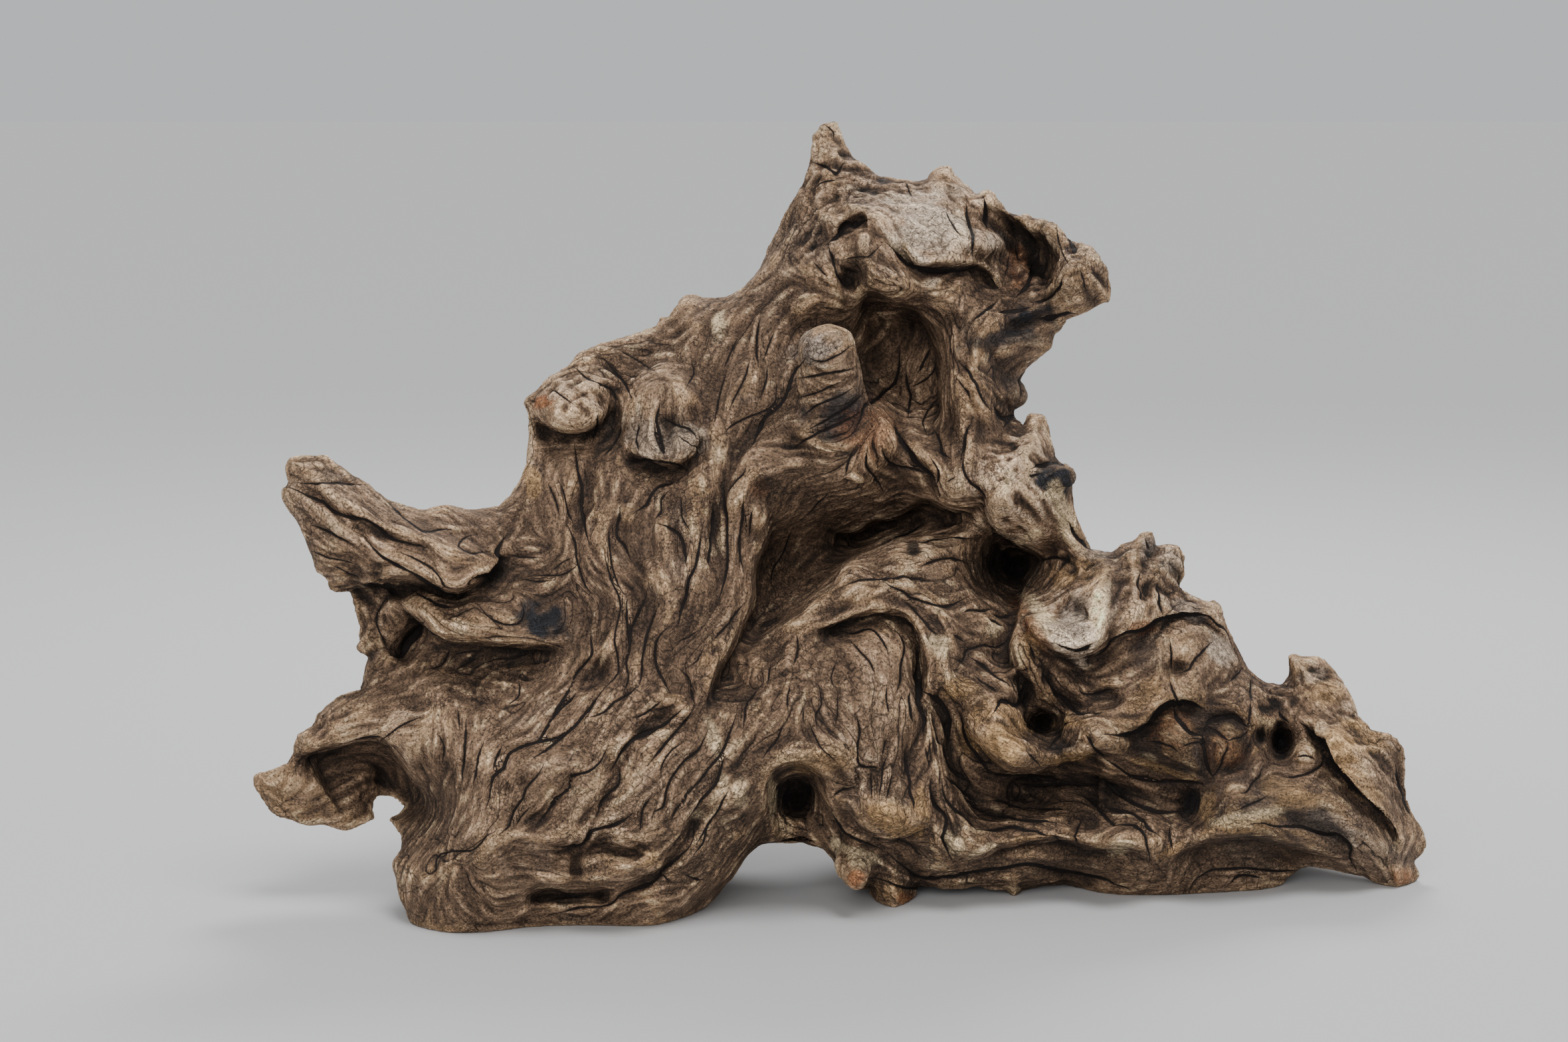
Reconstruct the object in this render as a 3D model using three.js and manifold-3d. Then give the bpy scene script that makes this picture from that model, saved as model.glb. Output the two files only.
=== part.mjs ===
// Root wood for a planted tank: one weathered stump that spreads from a crown into a broad left fan,
// a middle root with an arch beside it and a long right root. Millimetres, +Z up, the front faces -Y.
import * as THREE from 'three';
import Module from 'manifold-3d';

const wasm = await Module();
wasm.setup();

// Line of sight. The forms are laid out as they are seen from the front: across (u) and up (v) in
// millimetres, and a depth (w) that grows away from the viewer. place() sets them out in space.
const SIGHT_DISTANCE = 1150;
const SIGHT_TILT = THREE.MathUtils.degToRad(8);
const SIGHT_ACROSS = -21.25;
const SIGHT_UP = 155.25;
const SIGHT_HEIGHT = 144.3;

// Sizes, mm
const FRONT_ROUND = 22;
const BACK_ROUND = 50;
const EDGE_FALL = 0.25;
const STEP_RUN = 2.5;
const STUB_BLEND = 10;
const VAULT_BLEND = 5;
const CELL = 3;
const FORK_GAP = 0.3;
const FAR = 600;

// Share of the thickness that lies in front of the outline
const FORE_SHARE = 0.34;

// Faces of the whole, before it is parted at its forks
const FACE_TARGET = 7500;

// Middle of the wood seen from above, which is moved to the origin
const MIDDLE_X = 3.93;
const MIDDLE_Y = 13.48;

// Span of the layout that holds every form
const LOW_CORNER = [-228, -16, -72];
const HIGH_CORNER = [228, 314, 112];

// Edge of the wood seen from the front, clockwise from the tip of the left horn. Soles run below the
// floor, where they are cut flat.
const OUTLINE = [
  [-208, 179], [-203, 180], [-194, 180], [-187, 175], [-178, 169.5], [-169, 162], [-157, 159],
  [-149, 161.5], [-137, 159], [-128, 160.5], [-121.5, 168], [-118, 177], [-117, 186], [-118, 196],
  [-120, 200], [-115, 204], [-109.5, 210], [-104, 213], [-98, 219], [-92, 221.5], [-85, 224],
  [-75, 226.5], [-70, 228], [-68, 232], [-65, 231.5], [-62, 236], [-59.5, 240], [-54, 240.5],
  [-52, 239], [-47, 239], [-41.5, 240], [-36.5, 243], [-32.5, 247], [-28, 253.5], [-25, 259],
  [-21, 271], [-14.5, 281.5], [-11.5, 293], [-10.5, 300.5], [-6, 306], [-1.5, 306], [0.5, 301],
  [2.5, 296], [5, 292.5], [9, 289.5], [13.5, 285], [24.5, 284], [28.5, 283], [32.5, 284],
  [35.5, 288], [41, 288.5], [43.5, 284.5], [48.5, 280.5], [51.5, 278], [55.5, 280], [57.5, 278],
  [60.5, 274], [64.5, 271], [76.5, 269], [81.5, 267], [84, 264], [88.5, 260], [93.5, 259],
  [97, 256], [100, 251], [101, 247], [102, 242], [101, 238], [95, 235], [85.5, 231], [83, 227],
  [80, 225], [79.5, 220], [75, 216.5], [70.5, 213.5], [67.5, 208], [69, 206], [70.5, 202],
  [69.5, 199.5], [65, 197], [66, 193], [69, 191], [71, 196], [76.5, 195.5], [79, 188],
  [80.5, 179], [84, 176.5], [87, 174], [87, 169], [87.5, 162], [89, 156], [94, 144.5], [102, 143.5],
  [106.5, 146.5], [110, 147], [113.5, 150.5], [116.5, 151.5], [118, 150], [118.8, 145.5],
  [124.5, 146.5], [127.5, 145.5], [129.5, 142], [129, 135], [128, 131], [130, 127.5], [135, 125.5],
  [138.5, 124.5], [140.5, 126], [144, 123], [143.5, 119.5], [148.5, 110], [153.5, 100],
  [157.5, 96], [162, 94], [166, 94], [169, 97], [168, 104], [170.5, 105.5], [174, 104.5],
  [179, 105], [182.5, 103], [186, 99], [190, 93], [193, 87.5], [194.5, 82], [199, 77], [204, 76],
  [208.5, 74], [212, 70], [213, 66], [212, 61], [213.5, 51], [215, 46], [220, 37.5], [221, 33],
  [219, 29.5], [216, 27], [218, 23], [217, 19], [214, 6], [206, 6], [203, 18], [196.5, 21.5],
  [186.5, 23], [176, 22], [171, 18], [166, 2], [96, 0], [90, 16], [84.5, 18.5], [77, 18],
  [69, 16], [68, 4], [63, 4], [62, 15.5], [52, 17], [46, 15.5], [37, 15], [29.5, 17], [29, 12],
  [31, -4], [11, -4], [12.5, 11], [11, 17], [8.5, 17], [5.5, 16.5], [2, 19], [2, 23], [-1, 24.5],
  [-3, 28], [-6, 31.5], [-10, 33], [-15, 35], [-23, 34.5], [-30, 34], [-34, 30.5], [-37.5, 26.5],
  [-42, 19.5], [-47, 14], [-52, 8], [-60, -12], [-158, -14], [-163.5, 8.5], [-166, 13],
  [-167, 18], [-168, 27], [-165, 32], [-165, 36], [-168, 41], [-170, 43], [-166, 45.5],
  [-164, 48], [-168, 51], [-172, 51.5], [-175.5, 50.5], [-176, 46], [-175, 43], [-179, 41.5],
  [-186.5, 39.5], [-194, 41], [-201, 41], [-206, 42.5], [-211.5, 43.5], [-214.5, 46.5],
  [-219, 52.5], [-221, 56], [-220.5, 60], [-212, 62.5], [-208.5, 64], [-206, 67], [-205, 71],
  [-203.5, 75], [-197.5, 79], [-196.5, 82.5], [-191, 87], [-187.5, 89.5], [-180, 92], [-178.5, 99],
  [-177, 104.5], [-180, 105], [-182, 107.5], [-180, 115], [-184, 124.5], [-185, 129],
  [-190, 129], [-193, 130.5], [-193, 133.5], [-197, 137], [-200, 144], [-205, 156], [-209.5, 163.5],
  [-210.5, 167], [-207.5, 170], [-209, 175],
];

// Depth of the front at chosen places: across, up, depth
const FRONT_POINTS = [
  [-208, 176, -42], [-206, 165, -46], [-190, 172, -44], [-190, 150, -50], [-175, 160, -48],
  [-165, 145, -48], [-150, 152, -42], [-150, 136, -46], [-135, 150, -34], [-130, 136, -38],
  [-178, 120, -24], [-165, 112, -22], [-152, 120, -42], [-135, 117, -42], [-140, 102, -28],
  [-120, 100, -32], [-215, 57, -14], [-200, 75, -24], [-195, 50, -8], [-180, 84, -28],
  [-180, 58, -4], [-172, 60, 2], [-165, 88, -28], [-163, 68, -28], [-159, 46, -8],
  [-153, 90, -34], [-140, 70, -46], [-142, 40, -50], [-152, 15, -40], [-162, 32, -30],
  [-120, 140, -32], [-112, 120, -34], [-120, 70, -50], [-120, 40, -54], [-132, 12, -44],
  [-145, 1, -36], [-118, 5, -30], [-92, 6, -28], [-72, 5, -28], [-58, 6, -22],
  [-100, 170, -24], [-100, 140, -34], [-96, 112, -38], [-95, 80, -52], [-96, 50, -58],
  [-98, 26, -48], [-75, 165, -30], [-76, 140, -36], [-70, 110, -44], [-70, 80, -52],
  [-70, 50, -56], [-70, 22, -44], [-50, 160, -32], [-50, 130, -40], [-52, 105, -42],
  [-50, 80, -48], [-48, 50, -48], [-48, 22, -34], [-34, 52, -40], [-112, 190, -14],
  [-102, 206, -16], [-95, 183, -18], [-80, 215, -4], [-80, 200, -12], [-66, 226, -2],
  [-55, 215, -10], [-48, 230, -2], [-58, 238, 4], [-40, 228, -2], [-42, 200, -18],
  [-60, 182, -24], [-28, 215, -10], [-26, 190, -22], [-30, 248, 4], [-18, 238, -4],
  [-18, 262, 2], [-5, 300, 8], [-1, 285, 2], [-13, 275, 0], [5, 272, -6], [16, 279, 0],
  [30, 270, -6], [38, 285, 6], [30, 258, -10], [20, 244, -16], [-4, 250, -10], [46, 265, -2],
  [48, 248, -4], [62, 262, 14], [62, 248, 16], [75, 256, 12], [80, 265, -2], [92, 250, -12],
  [98, 240, -6], [85, 240, -10], [42, 238, -10], [60, 230, -8], [76, 224, -2], [60, 214, -6],
  [70, 203, 2], [12, 226, 26], [25, 228, 28], [30, 206, 24], [15, 205, 20], [34, 190, 2],
  [48, 222, -8], [46, 205, -12], [52, 185, -14], [62, 180, -16], [74, 186, -8], [60, 160, -18],
  [75, 162, -16], [82, 178, -8], [86, 156, -8], [91, 147, 0], [30, 180, -10], [42, 168, -12],
  [15, 186, -8], [-10, 193, -24], [2, 178, -18], [-20, 176, -26], [-32, 166, -30], [5, 168, -12],
  [-12, 160, -6], [-20, 150, -2], [-23, 132, -6], [-12, 140, 10], [6, 148, 28], [22, 152, 22],
  [40, 155, 10], [60, 138, 36], [68, 134, 36], [-30, 112, -26], [-15, 119, -22], [5, 136, -14],
  [25, 145, -8], [45, 149, -2], [30, 137, -12], [46, 130, -6], [58, 120, -10], [45, 118, -14],
  [0, 124, -18], [20, 125, -18], [-20, 100, -34], [0, 104, -28], [20, 104, -26], [-36, 84, -44],
  [-15, 80, -46], [5, 84, -40], [22, 84, -34], [-8, 66, -40], [15, 64, -34], [6, 50, -30],
  [18, 46, -34], [30, 52, -26], [-2, 32, -18], [5, 22, -16], [18, 30, -12], [20, 14, -6],
  [30, 22, -6], [38, 100, -20], [38, 80, -20], [42, 60, -16], [40, 40, -16], [50, 106, -18],
  [62, 101, -16], [55, 88, -24], [60, 75, -28], [70, 68, -28], [52, 50, -4], [70, 52, 8],
  [100, 52, 12], [128, 50, 10], [50, 34, -16], [75, 34, -12], [105, 34, -8], [120, 34, -4],
  [66, 16, 2], [85, 22, 4], [105, 20, 10], [75, 110, -18], [88, 118, -20], [88, 98, -6],
  [80, 90, -10], [76, 79, 8], [95, 88, -8], [95, 77, -20], [95, 68, -18], [112, 136, -6],
  [116, 146, 2], [105, 115, -10], [125, 137, 2], [115, 100, -6], [130, 112, -4], [140, 118, 6],
  [135, 95, -6], [148, 105, 10], [118, 84, -12], [120, 72, -4], [128, 66, -4], [141, 75, -2],
  [141, 64, -2], [155, 91, 4], [155, 74, 0], [172, 98, 16], [183, 97, 20], [180, 84, 12],
  [165, 72, 14], [173, 66, 8], [186, 72, 6], [200, 69, 14], [208, 62, 22], [155, 50, -2],
  [166, 44, -4], [145, 40, -8], [125, 24, 6], [150, 27, 12], [172, 30, 12], [180, 50, 2],
  [195, 45, 6], [205, 34, 12], [216, 34, 28], [212, 18, 30], [190, 27, 16], [150, 16, 22],
];

// Depth of the back at chosen places
const BACK_POINTS = [
  [-208, 172, -16], [-190, 160, -10], [-165, 148, -4], [-140, 145, 12], [-216, 56, 12],
  [-195, 66, 20], [-172, 82, 26], [-176, 115, 8], [-150, 110, 26], [-150, 60, 36], [-150, 15, 16],
  [-130, 95, 44], [-122, 150, 20], [-120, 50, 58], [-112, 18, 38], [-100, 190, 22],
  [-105, 205, 14], [-90, 150, 44], [-90, 100, 66], [-90, 60, 72], [-80, 215, 24], [-80, 20, 52],
  [-60, 165, 58], [-60, 120, 80], [-60, 70, 84], [-56, 234, 22], [-50, 30, 66], [-30, 200, 52],
  [-30, 150, 78], [-30, 100, 74], [-22, 250, 36], [-20, 60, 70], [-5, 300, 20], [0, 160, 88],
  [0, 110, 92], [4, 278, 36], [10, 220, 62], [10, 60, 80], [15, 30, 70], [38, 272, 40],
  [40, 240, 56], [40, 190, 66], [40, 130, 88], [45, 70, 98], [62, 240, 50], [68, 205, 36],
  [70, 165, 58], [75, 110, 92], [75, 50, 90], [94, 246, 22], [90, 150, 44], [110, 115, 74],
  [110, 60, 96], [124, 138, 36], [140, 90, 78], [140, 50, 94], [142, 116, 40], [160, 80, 74],
  [160, 35, 90], [176, 98, 44], [184, 60, 72], [202, 66, 48], [212, 36, 52], [192, 30, 66],
];

// Steps of the front where one sheet of wood laps over the next: lift, drop, reach of the lift, reach
// of the drop, and the edge. The lapping sheet lies to the left of the way that the edge runs.
const FRONT_STEPS = [
  [7, 18, 12, 14, [[-50, 84], [-46, 98], [-39, 112], [-33, 124], [-32, 136], [-28, 147], [-26, 160]]],
  [3, 14, 8, 13, [[48, 154], [30, 150], [15, 147], [2, 139], [-3, 131], [-11, 126], [-16, 120],
    [-27, 113], [-38, 103]]],
  [3, 9, 7, 9, [[-14, 108], [-5, 115], [8, 120], [18, 121], [26, 118], [30, 110], [31, 98],
    [30, 84]]],
  [4, 10, 9, 10, [[4, 224], [7, 236], [12, 241], [20, 238], [30, 233], [36, 222], [38, 210],
    [38, 196], [33, 187]]],
  [5, 7, 12, 8, [[20, 264], [25, 256], [30, 251.5], [41, 252], [52, 251], [58, 246], [62, 239]]],
  [6, 9, 6, 9, [[51, 275], [60, 272], [68, 266], [77, 261], [81, 253], [79, 244], [72, 240]]],
  [8, 6, 12, 6, [[-82, 184], [-74, 179], [-64, 176], [-56, 180], [-52, 190]]],
  [8, 8, 10, 8, [[-117, 196], [-108, 190], [-98, 189], [-90, 193], [-86, 201]]],
  [5, 13, 12, 10, [[-192, 130], [-178, 131], [-165, 134], [-155, 131], [-147, 128], [-139, 131],
    [-128, 138], [-126, 146]]],
  [6, 11, 10, 12, [[-167, 126], [-158, 118], [-152, 112], [-140, 110], [-125, 108.5], [-104, 108]]],
  [4, 16, 8, 18, [[-209, 61], [-200, 68], [-188, 71], [-174, 73], [-167, 68], [-162, 59],
    [-156, 52], [-154, 42]]],
  [5, 17, 12, 13, [[44, 86], [49, 76], [55, 69], [63, 63], [72, 61.5], [84, 65], [97, 69],
    [108, 66]]],
  [6, 7, 10, 7, [[40, 32], [46, 29], [53, 29], [61, 33], [73, 35], [85, 35], [96, 32], [108, 33],
    [118, 26]]],
  [6, 7, 12, 8, [[67, 122], [73, 113], [80, 107], [88, 104.5], [96, 107], [103, 113]]],
  [4, 13, 8, 11, [[78, 142], [71, 135], [68, 126], [66, 117], [64, 107], [67, 98]]],
  [4, 14, 8, 12, [[53, 168], [56, 158], [60, 151], [67, 146], [78, 140]]],
  [4, 12, 8, 11, [[-8, 152], [5, 151], [12, 155], [22, 158], [32, 163], [42, 160], [54, 161]]],
  [3, 6, 6, 6, [[102, 75], [113, 76], [118, 82], [124, 86.5], [130, 87], [138, 84]]],
  [5, 8, 8, 7, [[174, 81], [180, 74], [184, 65], [190, 58], [197, 50], [203, 45], [209, 37],
    [208, 28]]],
  [5, 9, 8, 10, [[122, 27], [133, 33], [145, 36], [158, 36], [170, 33], [180, 30], [192, 26]]],
  [3, 5, 7, 6, [[101, 110], [112, 113], [119, 117], [127, 119.5], [137, 119], [143, 113],
    [148, 106]]],
  [5, 5, 7, 7, [[-26, 38], [-27.5, 50], [-26, 59], [-21, 63.5], [-15, 64], [-8, 60], [0, 57]]],
  [4, 6, 8, 8, [[-14, 59], [-9, 55], [-4, 47], [0, 39], [6, 34], [15, 33]]],
  [5, 5, 9, 7, [[1, 50], [8, 41], [15, 37], [23, 37], [29, 40], [35, 43]]],
  [4, 6, 9, 7, [[-20, 190], [-12, 184], [-3, 180], [6, 184], [12, 190]]],
];

// Ridges of the front, or valleys where the height is below nought: height, half width, line
const FRONT_RIDGES = [
  [4, 4, [[-118, 178], [-115, 188], [-117, 199]]],
  [4, 4, [[-109, 208], [-98, 216], [-86, 221], [-70, 225]]],
  [5, 5, [[-84, 184], [-80, 196], [-74, 206], [-66, 211], [-58, 203], [-53, 194]]],
  [5, 4, [[-25, 260], [-30, 250], [-38, 238], [-45, 226]]],
  [4, 5, [[2, 183], [-12, 178], [-24, 176], [-35, 172], [-39, 164], [-38, 150]]],
  [3, 5, [[-30, 228], [-34, 212], [-44, 195], [-52, 178], [-55, 150], [-56, 120]]],
  [-5, 4, [[-92, 212], [-86, 202], [-84, 192], [-92, 178], [-98, 158], [-96, 146]]],
  [-4, 3, [[-22, 205], [-26, 196], [-36, 186], [-42, 172], [-47, 152], [-46, 132], [-50, 116]]],
  [3, 4, [[-64, 164], [-67, 150], [-64, 134], [-66, 118], [-75, 104], [-80, 90]]],
  [3, 4, [[-88, 166], [-90, 150], [-84, 132], [-84, 116], [-92, 98]]],
  [-4, 3, [[-60, 88], [-74, 76], [-84, 62], [-90, 48], [-104, 36]]],
  [-3, 3, [[-98, 62], [-104, 54], [-112, 44], [-120, 36]]],
  [4, 4, [[-105, 66], [-96, 68], [-84, 70], [-72, 76]]],
  [4, 5, [[-140, 32], [-126, 36], [-110, 36], [-97, 40], [-88, 44]]],
  [4, 4, [[-88, 38], [-80, 35], [-72, 38], [-66, 44]]],
  [-6, 3, [[-110, 32], [-100, 31], [-90, 33], [-80, 31], [-70, 32]]],
  [5, 4, [[-122, 20], [-112, 20], [-98, 18], [-88, 22], [-76, 27], [-62, 30]]],
  [4, 4, [[-80, 8], [-68, 10], [-56, 14], [-44, 26], [-36, 40], [-29, 54]]],
  [-12, 3, [[-119, 11], [-112, 15], [-100, 15.5], [-90, 15], [-84, 13]]],
  [-5, 2.5, [[-88, 13], [-76, 18], [-66, 26], [-58, 36], [-50, 50]]],
  [-8, 3, [[-172, 127], [-156, 130], [-146, 127], [-138, 131]]],
  [-10, 4, [[-156, 119], [-163, 109], [-169, 103]]],
  [4, 4, [[-206, 171], [-192, 166], [-176, 156], [-160, 149], [-142, 143], [-130, 141]]],
  [-3, 2.5, [[-208, 169], [-198, 165], [-184, 156], [-170, 149], [-155, 144], [-150, 137]]],
  [4, 4, [[-203, 148], [-192, 139], [-183, 133]]],
  [4, 5, [[-172, 95], [-182, 84], [-194, 76], [-204, 68]]],
  [5, 4, [[-28, 112], [-14, 120], [-2, 133], [10, 142], [30, 149]]],
  [4, 4, [[-6, 126], [10, 129], [25, 130], [38, 122], [42, 108], [38, 92]]],
  [-5, 3, [[30, 112], [30, 96], [30, 80], [26, 66], [26, 54]]],
  [4, 4, [[-26, 66], [-16, 68], [-4, 68], [3, 64], [5, 56]]],
  [4, 4, [[36, 84], [37, 66], [40, 50], [46, 38], [50, 33]]],
  [-5, 3, [[31, 92], [38, 82], [41, 66], [48, 54], [56, 46], [68, 45]]],
  [4, 4, [[36, 112], [40, 98], [46, 92], [54, 92]]],
  [4, 3, [[48, 106], [58, 98], [66, 88]]],
  [-7, 3, [[64, 98], [70, 94], [70, 88], [66, 86]]],
  [4, 4, [[44, 84], [52, 90], [60, 84], [66, 78]]],
  [-4, 3, [[56, 58], [75, 58], [95, 57], [112, 52], [122, 46]]],
  [4, 3, [[58, 45], [75, 43], [92, 47], [104, 40]]],
  [-4, 3, [[19, 33], [25, 25], [34, 20.5], [46, 21], [58, 24], [70, 25], [86, 22], [104, 19]]],
  [4, 4, [[112, 44], [117, 36], [114, 28]]],
  [5, 4, [[68, 122], [75, 114], [82, 109], [90, 108], [96, 112], [99, 121], [101, 131]]],
  [-7, 5, [[80, 124], [87, 119], [92, 124]]],
  [5, 4, [[101, 142], [99, 134], [97, 124]]],
  [4, 4, [[106, 146], [112, 138], [112, 126], [110, 117]]],
  [5, 4, [[119, 143], [118, 132], [120, 121]]],
  [-5, 3, [[118, 146], [115, 135], [114, 124]]],
  [-5, 3, [[75, 102], [80, 94], [88, 86], [98, 84]]],
  [4, 4, [[80, 80], [90, 79], [100, 76], [110, 70]]],
  [4, 4, [[142, 50], [152, 44], [166, 42], [182, 38]]],
  [-5, 3, [[155, 42], [165, 43], [176, 41], [186, 37], [194, 30]]],
  [4, 5, [[140, 56], [156, 52], [172, 52], [186, 48], [198, 40]]],
  [4, 4, [[183, 78], [192, 70], [202, 58], [210, 48]]],
  [-4, 3, [[208, 60], [211, 52], [214, 42]]],
  [-4, 2.5, [[136, 80], [142, 82], [149, 80], [153, 74], [151, 64], [141, 60]]],
  [4, 4, [[44, 232], [42, 218], [44, 200], [48, 184], [50, 170]]],
  [4, 4, [[62, 236], [54, 224], [50, 210], [56, 196], [60, 186]]],
  [4, 4, [[82, 228], [70, 224], [58, 216]]],
  [-5, 3, [[83, 233], [72, 231], [60, 226]]],
  [4, 4, [[70, 194], [72, 184], [70, 172], [72, 160], [80, 148]]],
  [5, 4, [[22, 194], [26, 184], [34, 176], [40, 166], [44, 158]]],
  [-4, 3, [[20, 196], [24, 184], [32, 174], [37, 164]]],
  [4, 4, [[2, 172], [12, 168], [18, 160]]],
  [4, 4, [[-18, 254], [-8, 248], [2, 244]]],
  [5, 4, [[-20, 232], [-10, 238], [2, 236]]],
  [5, 4, [[-8, 274], [0, 268], [6, 272], [14, 270], [18, 262]]],
  [-6, 3, [[0, 263], [5, 268], [11, 269]]],
  [5, 3, [[8, 266], [10, 254], [16, 244]]],
  [4, 5, [[48, 268], [44, 258], [42, 248]]],
  [5, 4, [[84, 262], [86, 250], [84, 240]]],
];

// Knobs of the front, or pits where the height is below nought: across, up, half width, half height,
// turn in degrees, height
const FRONT_KNOBS = [
  [-104, 200, 15, 9, 20, 9], [-114, 190, 5, 6, 0, -8], [-92, 205, 7, 5, 40, 4],
  [-66, 197, 12, 13, 0, 9], [-66, 190, 4, 6, 0, -4], [-57, 233, 7, 6, 0, 4],
  [-93, 98, 7, 5, 40, -6], [-120, 57, 2, 2, 0, -2], [-125, 54, 2, 2, 0, -2],
  [-99, 25, 2, 6, 0, -6], [-97, 68, 8, 4, 0, -4], [-42, 52, 7, 7, 0, 5], [-108, 117, 10, 7, -30, 3],
  [-62, 87, 7, 4, -20, 4], [-80, 158, 4, 4, 0, 3], [-70, 134, 4, 8, 20, 4],
  [-31, 156, 4, 6, 0, 5], [-35, 104, 6, 8, 30, 4], [-16, 50, 9, 11, 0, -36],
  [-18, 40, 12, 8, 0, -22], [18, 46, 13, 5, -30, 5], [31, 46, 4, 7, 0, 5], [37, 36, 3, 5, 0, 4],
  [-3, 70, 9, 6, 0, 4], [5, 24, 6, 7, 0, 5], [6, 20, 4, 4, 0, 4], [20, 18, 7, 8, 0, 3],
  [26, 144, 4, 3, 0, -5], [46, 95, 7, 6, 0, 5], [60, 78, 9, 8, 0, 4], [75, 79, 6, 4, 0, -12],
  [70, 104, 6, 10, 10, 4], [46, 33, 4, 5, 0, 4], [58, 34, 4, 4, 0, -3], [108, 34, 7, 4, 0, 4],
  [90, 148, 5, 4, 0, 4], [72, 182, 7, 9, 0, 3], [62, 165, 7, 7, 0, 3], [69, 152, 7, 6, 0, 4],
  [54, 200, 6, 8, 0, 4], [66, 204, 6, 5, 0, 5], [76, 150, 5, 5, 0, 3], [43, 170, 4, 7, -20, 4],
  [84, 172, 4.5, 4.5, 0, 6], [14, 192, 5, 10, 15, 6], [35, 266, 11, 10, 0, 3],
  [39, 284, 5, 4, 0, 3], [92, 247, 8, 9, 0, 5], [55, 260, 6.5, 4.5, 0, 13],
  [20, 244, 8, 5, -15, 7], [66, 262, 9, 8, 0, -5], [77, 250, 5, 8, 0, -5], [70, 233, 5, 3, 20, 5],
  [-4, 288, 5, 8, 0, 4], [-1, 302, 4, 5, 0, -2], [4, 247, 4, 5, 0, -8], [12, 232, 5, 7, 0, -6],
  [108, 118, 7, 6, 0, 5], [112, 146, 5, 5, 0, 3], [125, 141, 4, 5, 0, 4], [133, 124, 7, 4, -15, 3],
  [125, 74, 9, 8, 0, 4], [144, 71, 7, 8, 0, 4], [158, 74, 2.5, 3.5, 0, -9],
  [165.5, 72, 4.5, 6, 0, -16], [175, 67, 5, 4, 0, 5], [126, 100, 4, 3, 0, -5],
  [142, 92, 6, 6, 0, -4], [172, 101, 5, 4, 0, 4], [182, 96, 7, 7, 0, 4], [200, 70, 8, 5, 0, 3],
  [131, 47, 4, 7, 0, -5], [150, 50, 8, 5, 0, 3], [195, 36, 9, 5, -30, 4], [168, 28, 12, 4, 0, -4],
  [211, 22, 5, 5, 0, 4], [100, 88, 6, 4, 0, -5], [88, 68, 8, 3, 0, 3],
];

// Steps, ridges and knobs of the back, laid out as the front's are, from the front's side
const BACK_STEPS = [
  [8, 12, 14, 14, [[-20, 205], [-32, 180], [-38, 150], [-46, 120], [-60, 90], [-74, 62], [-84, 34]]],
  [8, 12, 14, 14, [[84, 40], [72, 66], [58, 92], [50, 120], [46, 150], [40, 184], [36, 214]]],
  [6, 9, 12, 10, [[150, 92], [126, 98], [104, 110], [90, 128]]],
  [6, 9, 10, 10, [[186, 60], [166, 66], [142, 62], [118, 70], [98, 84]]],
  [5, 8, 10, 10, [[-176, 82], [-158, 88], [-138, 84], [-122, 96]]],
];
const BACK_RIDGES = [
  [9, 8, [[4, 286], [0, 256], [-8, 224], [-14, 190], [-22, 152], [-24, 118]]],
  [8, 7, [[60, 250], [48, 222], [40, 190], [36, 150], [28, 112], [22, 76]]],
  [9, 9, [[-40, 150], [-58, 116], [-80, 84], [-100, 54], [-112, 28]]],
  [9, 9, [[50, 110], [68, 84], [96, 66], [130, 50], [164, 40]]],
  [7, 6, [[88, 142], [108, 118], [134, 96], [166, 82], [194, 64]]],
  [7, 6, [[-92, 186], [-74, 158], [-62, 128], [-58, 98]]],
  [7, 6, [[-196, 160], [-170, 150], [-144, 142], [-118, 128], [-96, 108]]],
  [6, 6, [[-206, 60], [-184, 70], [-160, 74], [-134, 66]]],
  [7, 5, [[10, 130], [6, 100], [12, 72], [10, 44]]],
  [-9, 7, [[14, 214], [10, 180], [12, 148]]],
  [-8, 6, [[-44, 196], [-60, 172], [-84, 144], [-104, 112]]],
  [-8, 6, [[66, 190], [64, 160], [74, 134], [92, 104], [120, 80]]],
  [-8, 5, [[-122, 82], [-116, 58], [-124, 36]]],
  [-7, 5, [[-10, 104], [-14, 80], [-8, 62]]],
];
const BACK_KNOBS = [
  [-30, 232, 12, 9, 20, 8], [74, 206, 8, 9, 0, 6], [24, 166, 9, 12, 0, -10], [-70, 204, 10, 8, 0, 7],
  [-112, 132, 10, 8, -20, 7], [-40, 84, 9, 12, 0, -9], [66, 118, 10, 9, 0, 9], [128, 74, 11, 9, 0, 8],
  [176, 66, 9, 8, 0, 7], [104, 92, 8, 7, 0, -9], [-150, 92, 9, 8, 0, 6], [40, 262, 12, 8, 0, -7],
  [-6, 268, 9, 8, 0, 6], [-150, 40, 10, 9, 0, 6], [146, 112, 7, 6, 0, 5], [-168, 146, 8, 5, 0, 5],
];

// Stubs and knobs that stand out of the surface: start, radius, end, radius
const STUBS = [
  [[-2, 184, -12], 16, [-5, 219, -34], 10.5],
  [[82, 172, -4], 5, [84, 172, -13], 4.6],
  [[2, 188, -14], 10, [14, 186, -16], 7],
  [[4, 26, -10], 6, [6, 21, -20], 4.5],
  [[34, 206, 42], 19, [43, 212, 68], 9],
  [[-84, 118, 42], 21, [-97, 124, 72], 10],
  [[112, 84, 60], 19, [120, 94, 86], 9],
  [[-14, 250, 12], 13, [-21, 255, 34], 7],
];

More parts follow.
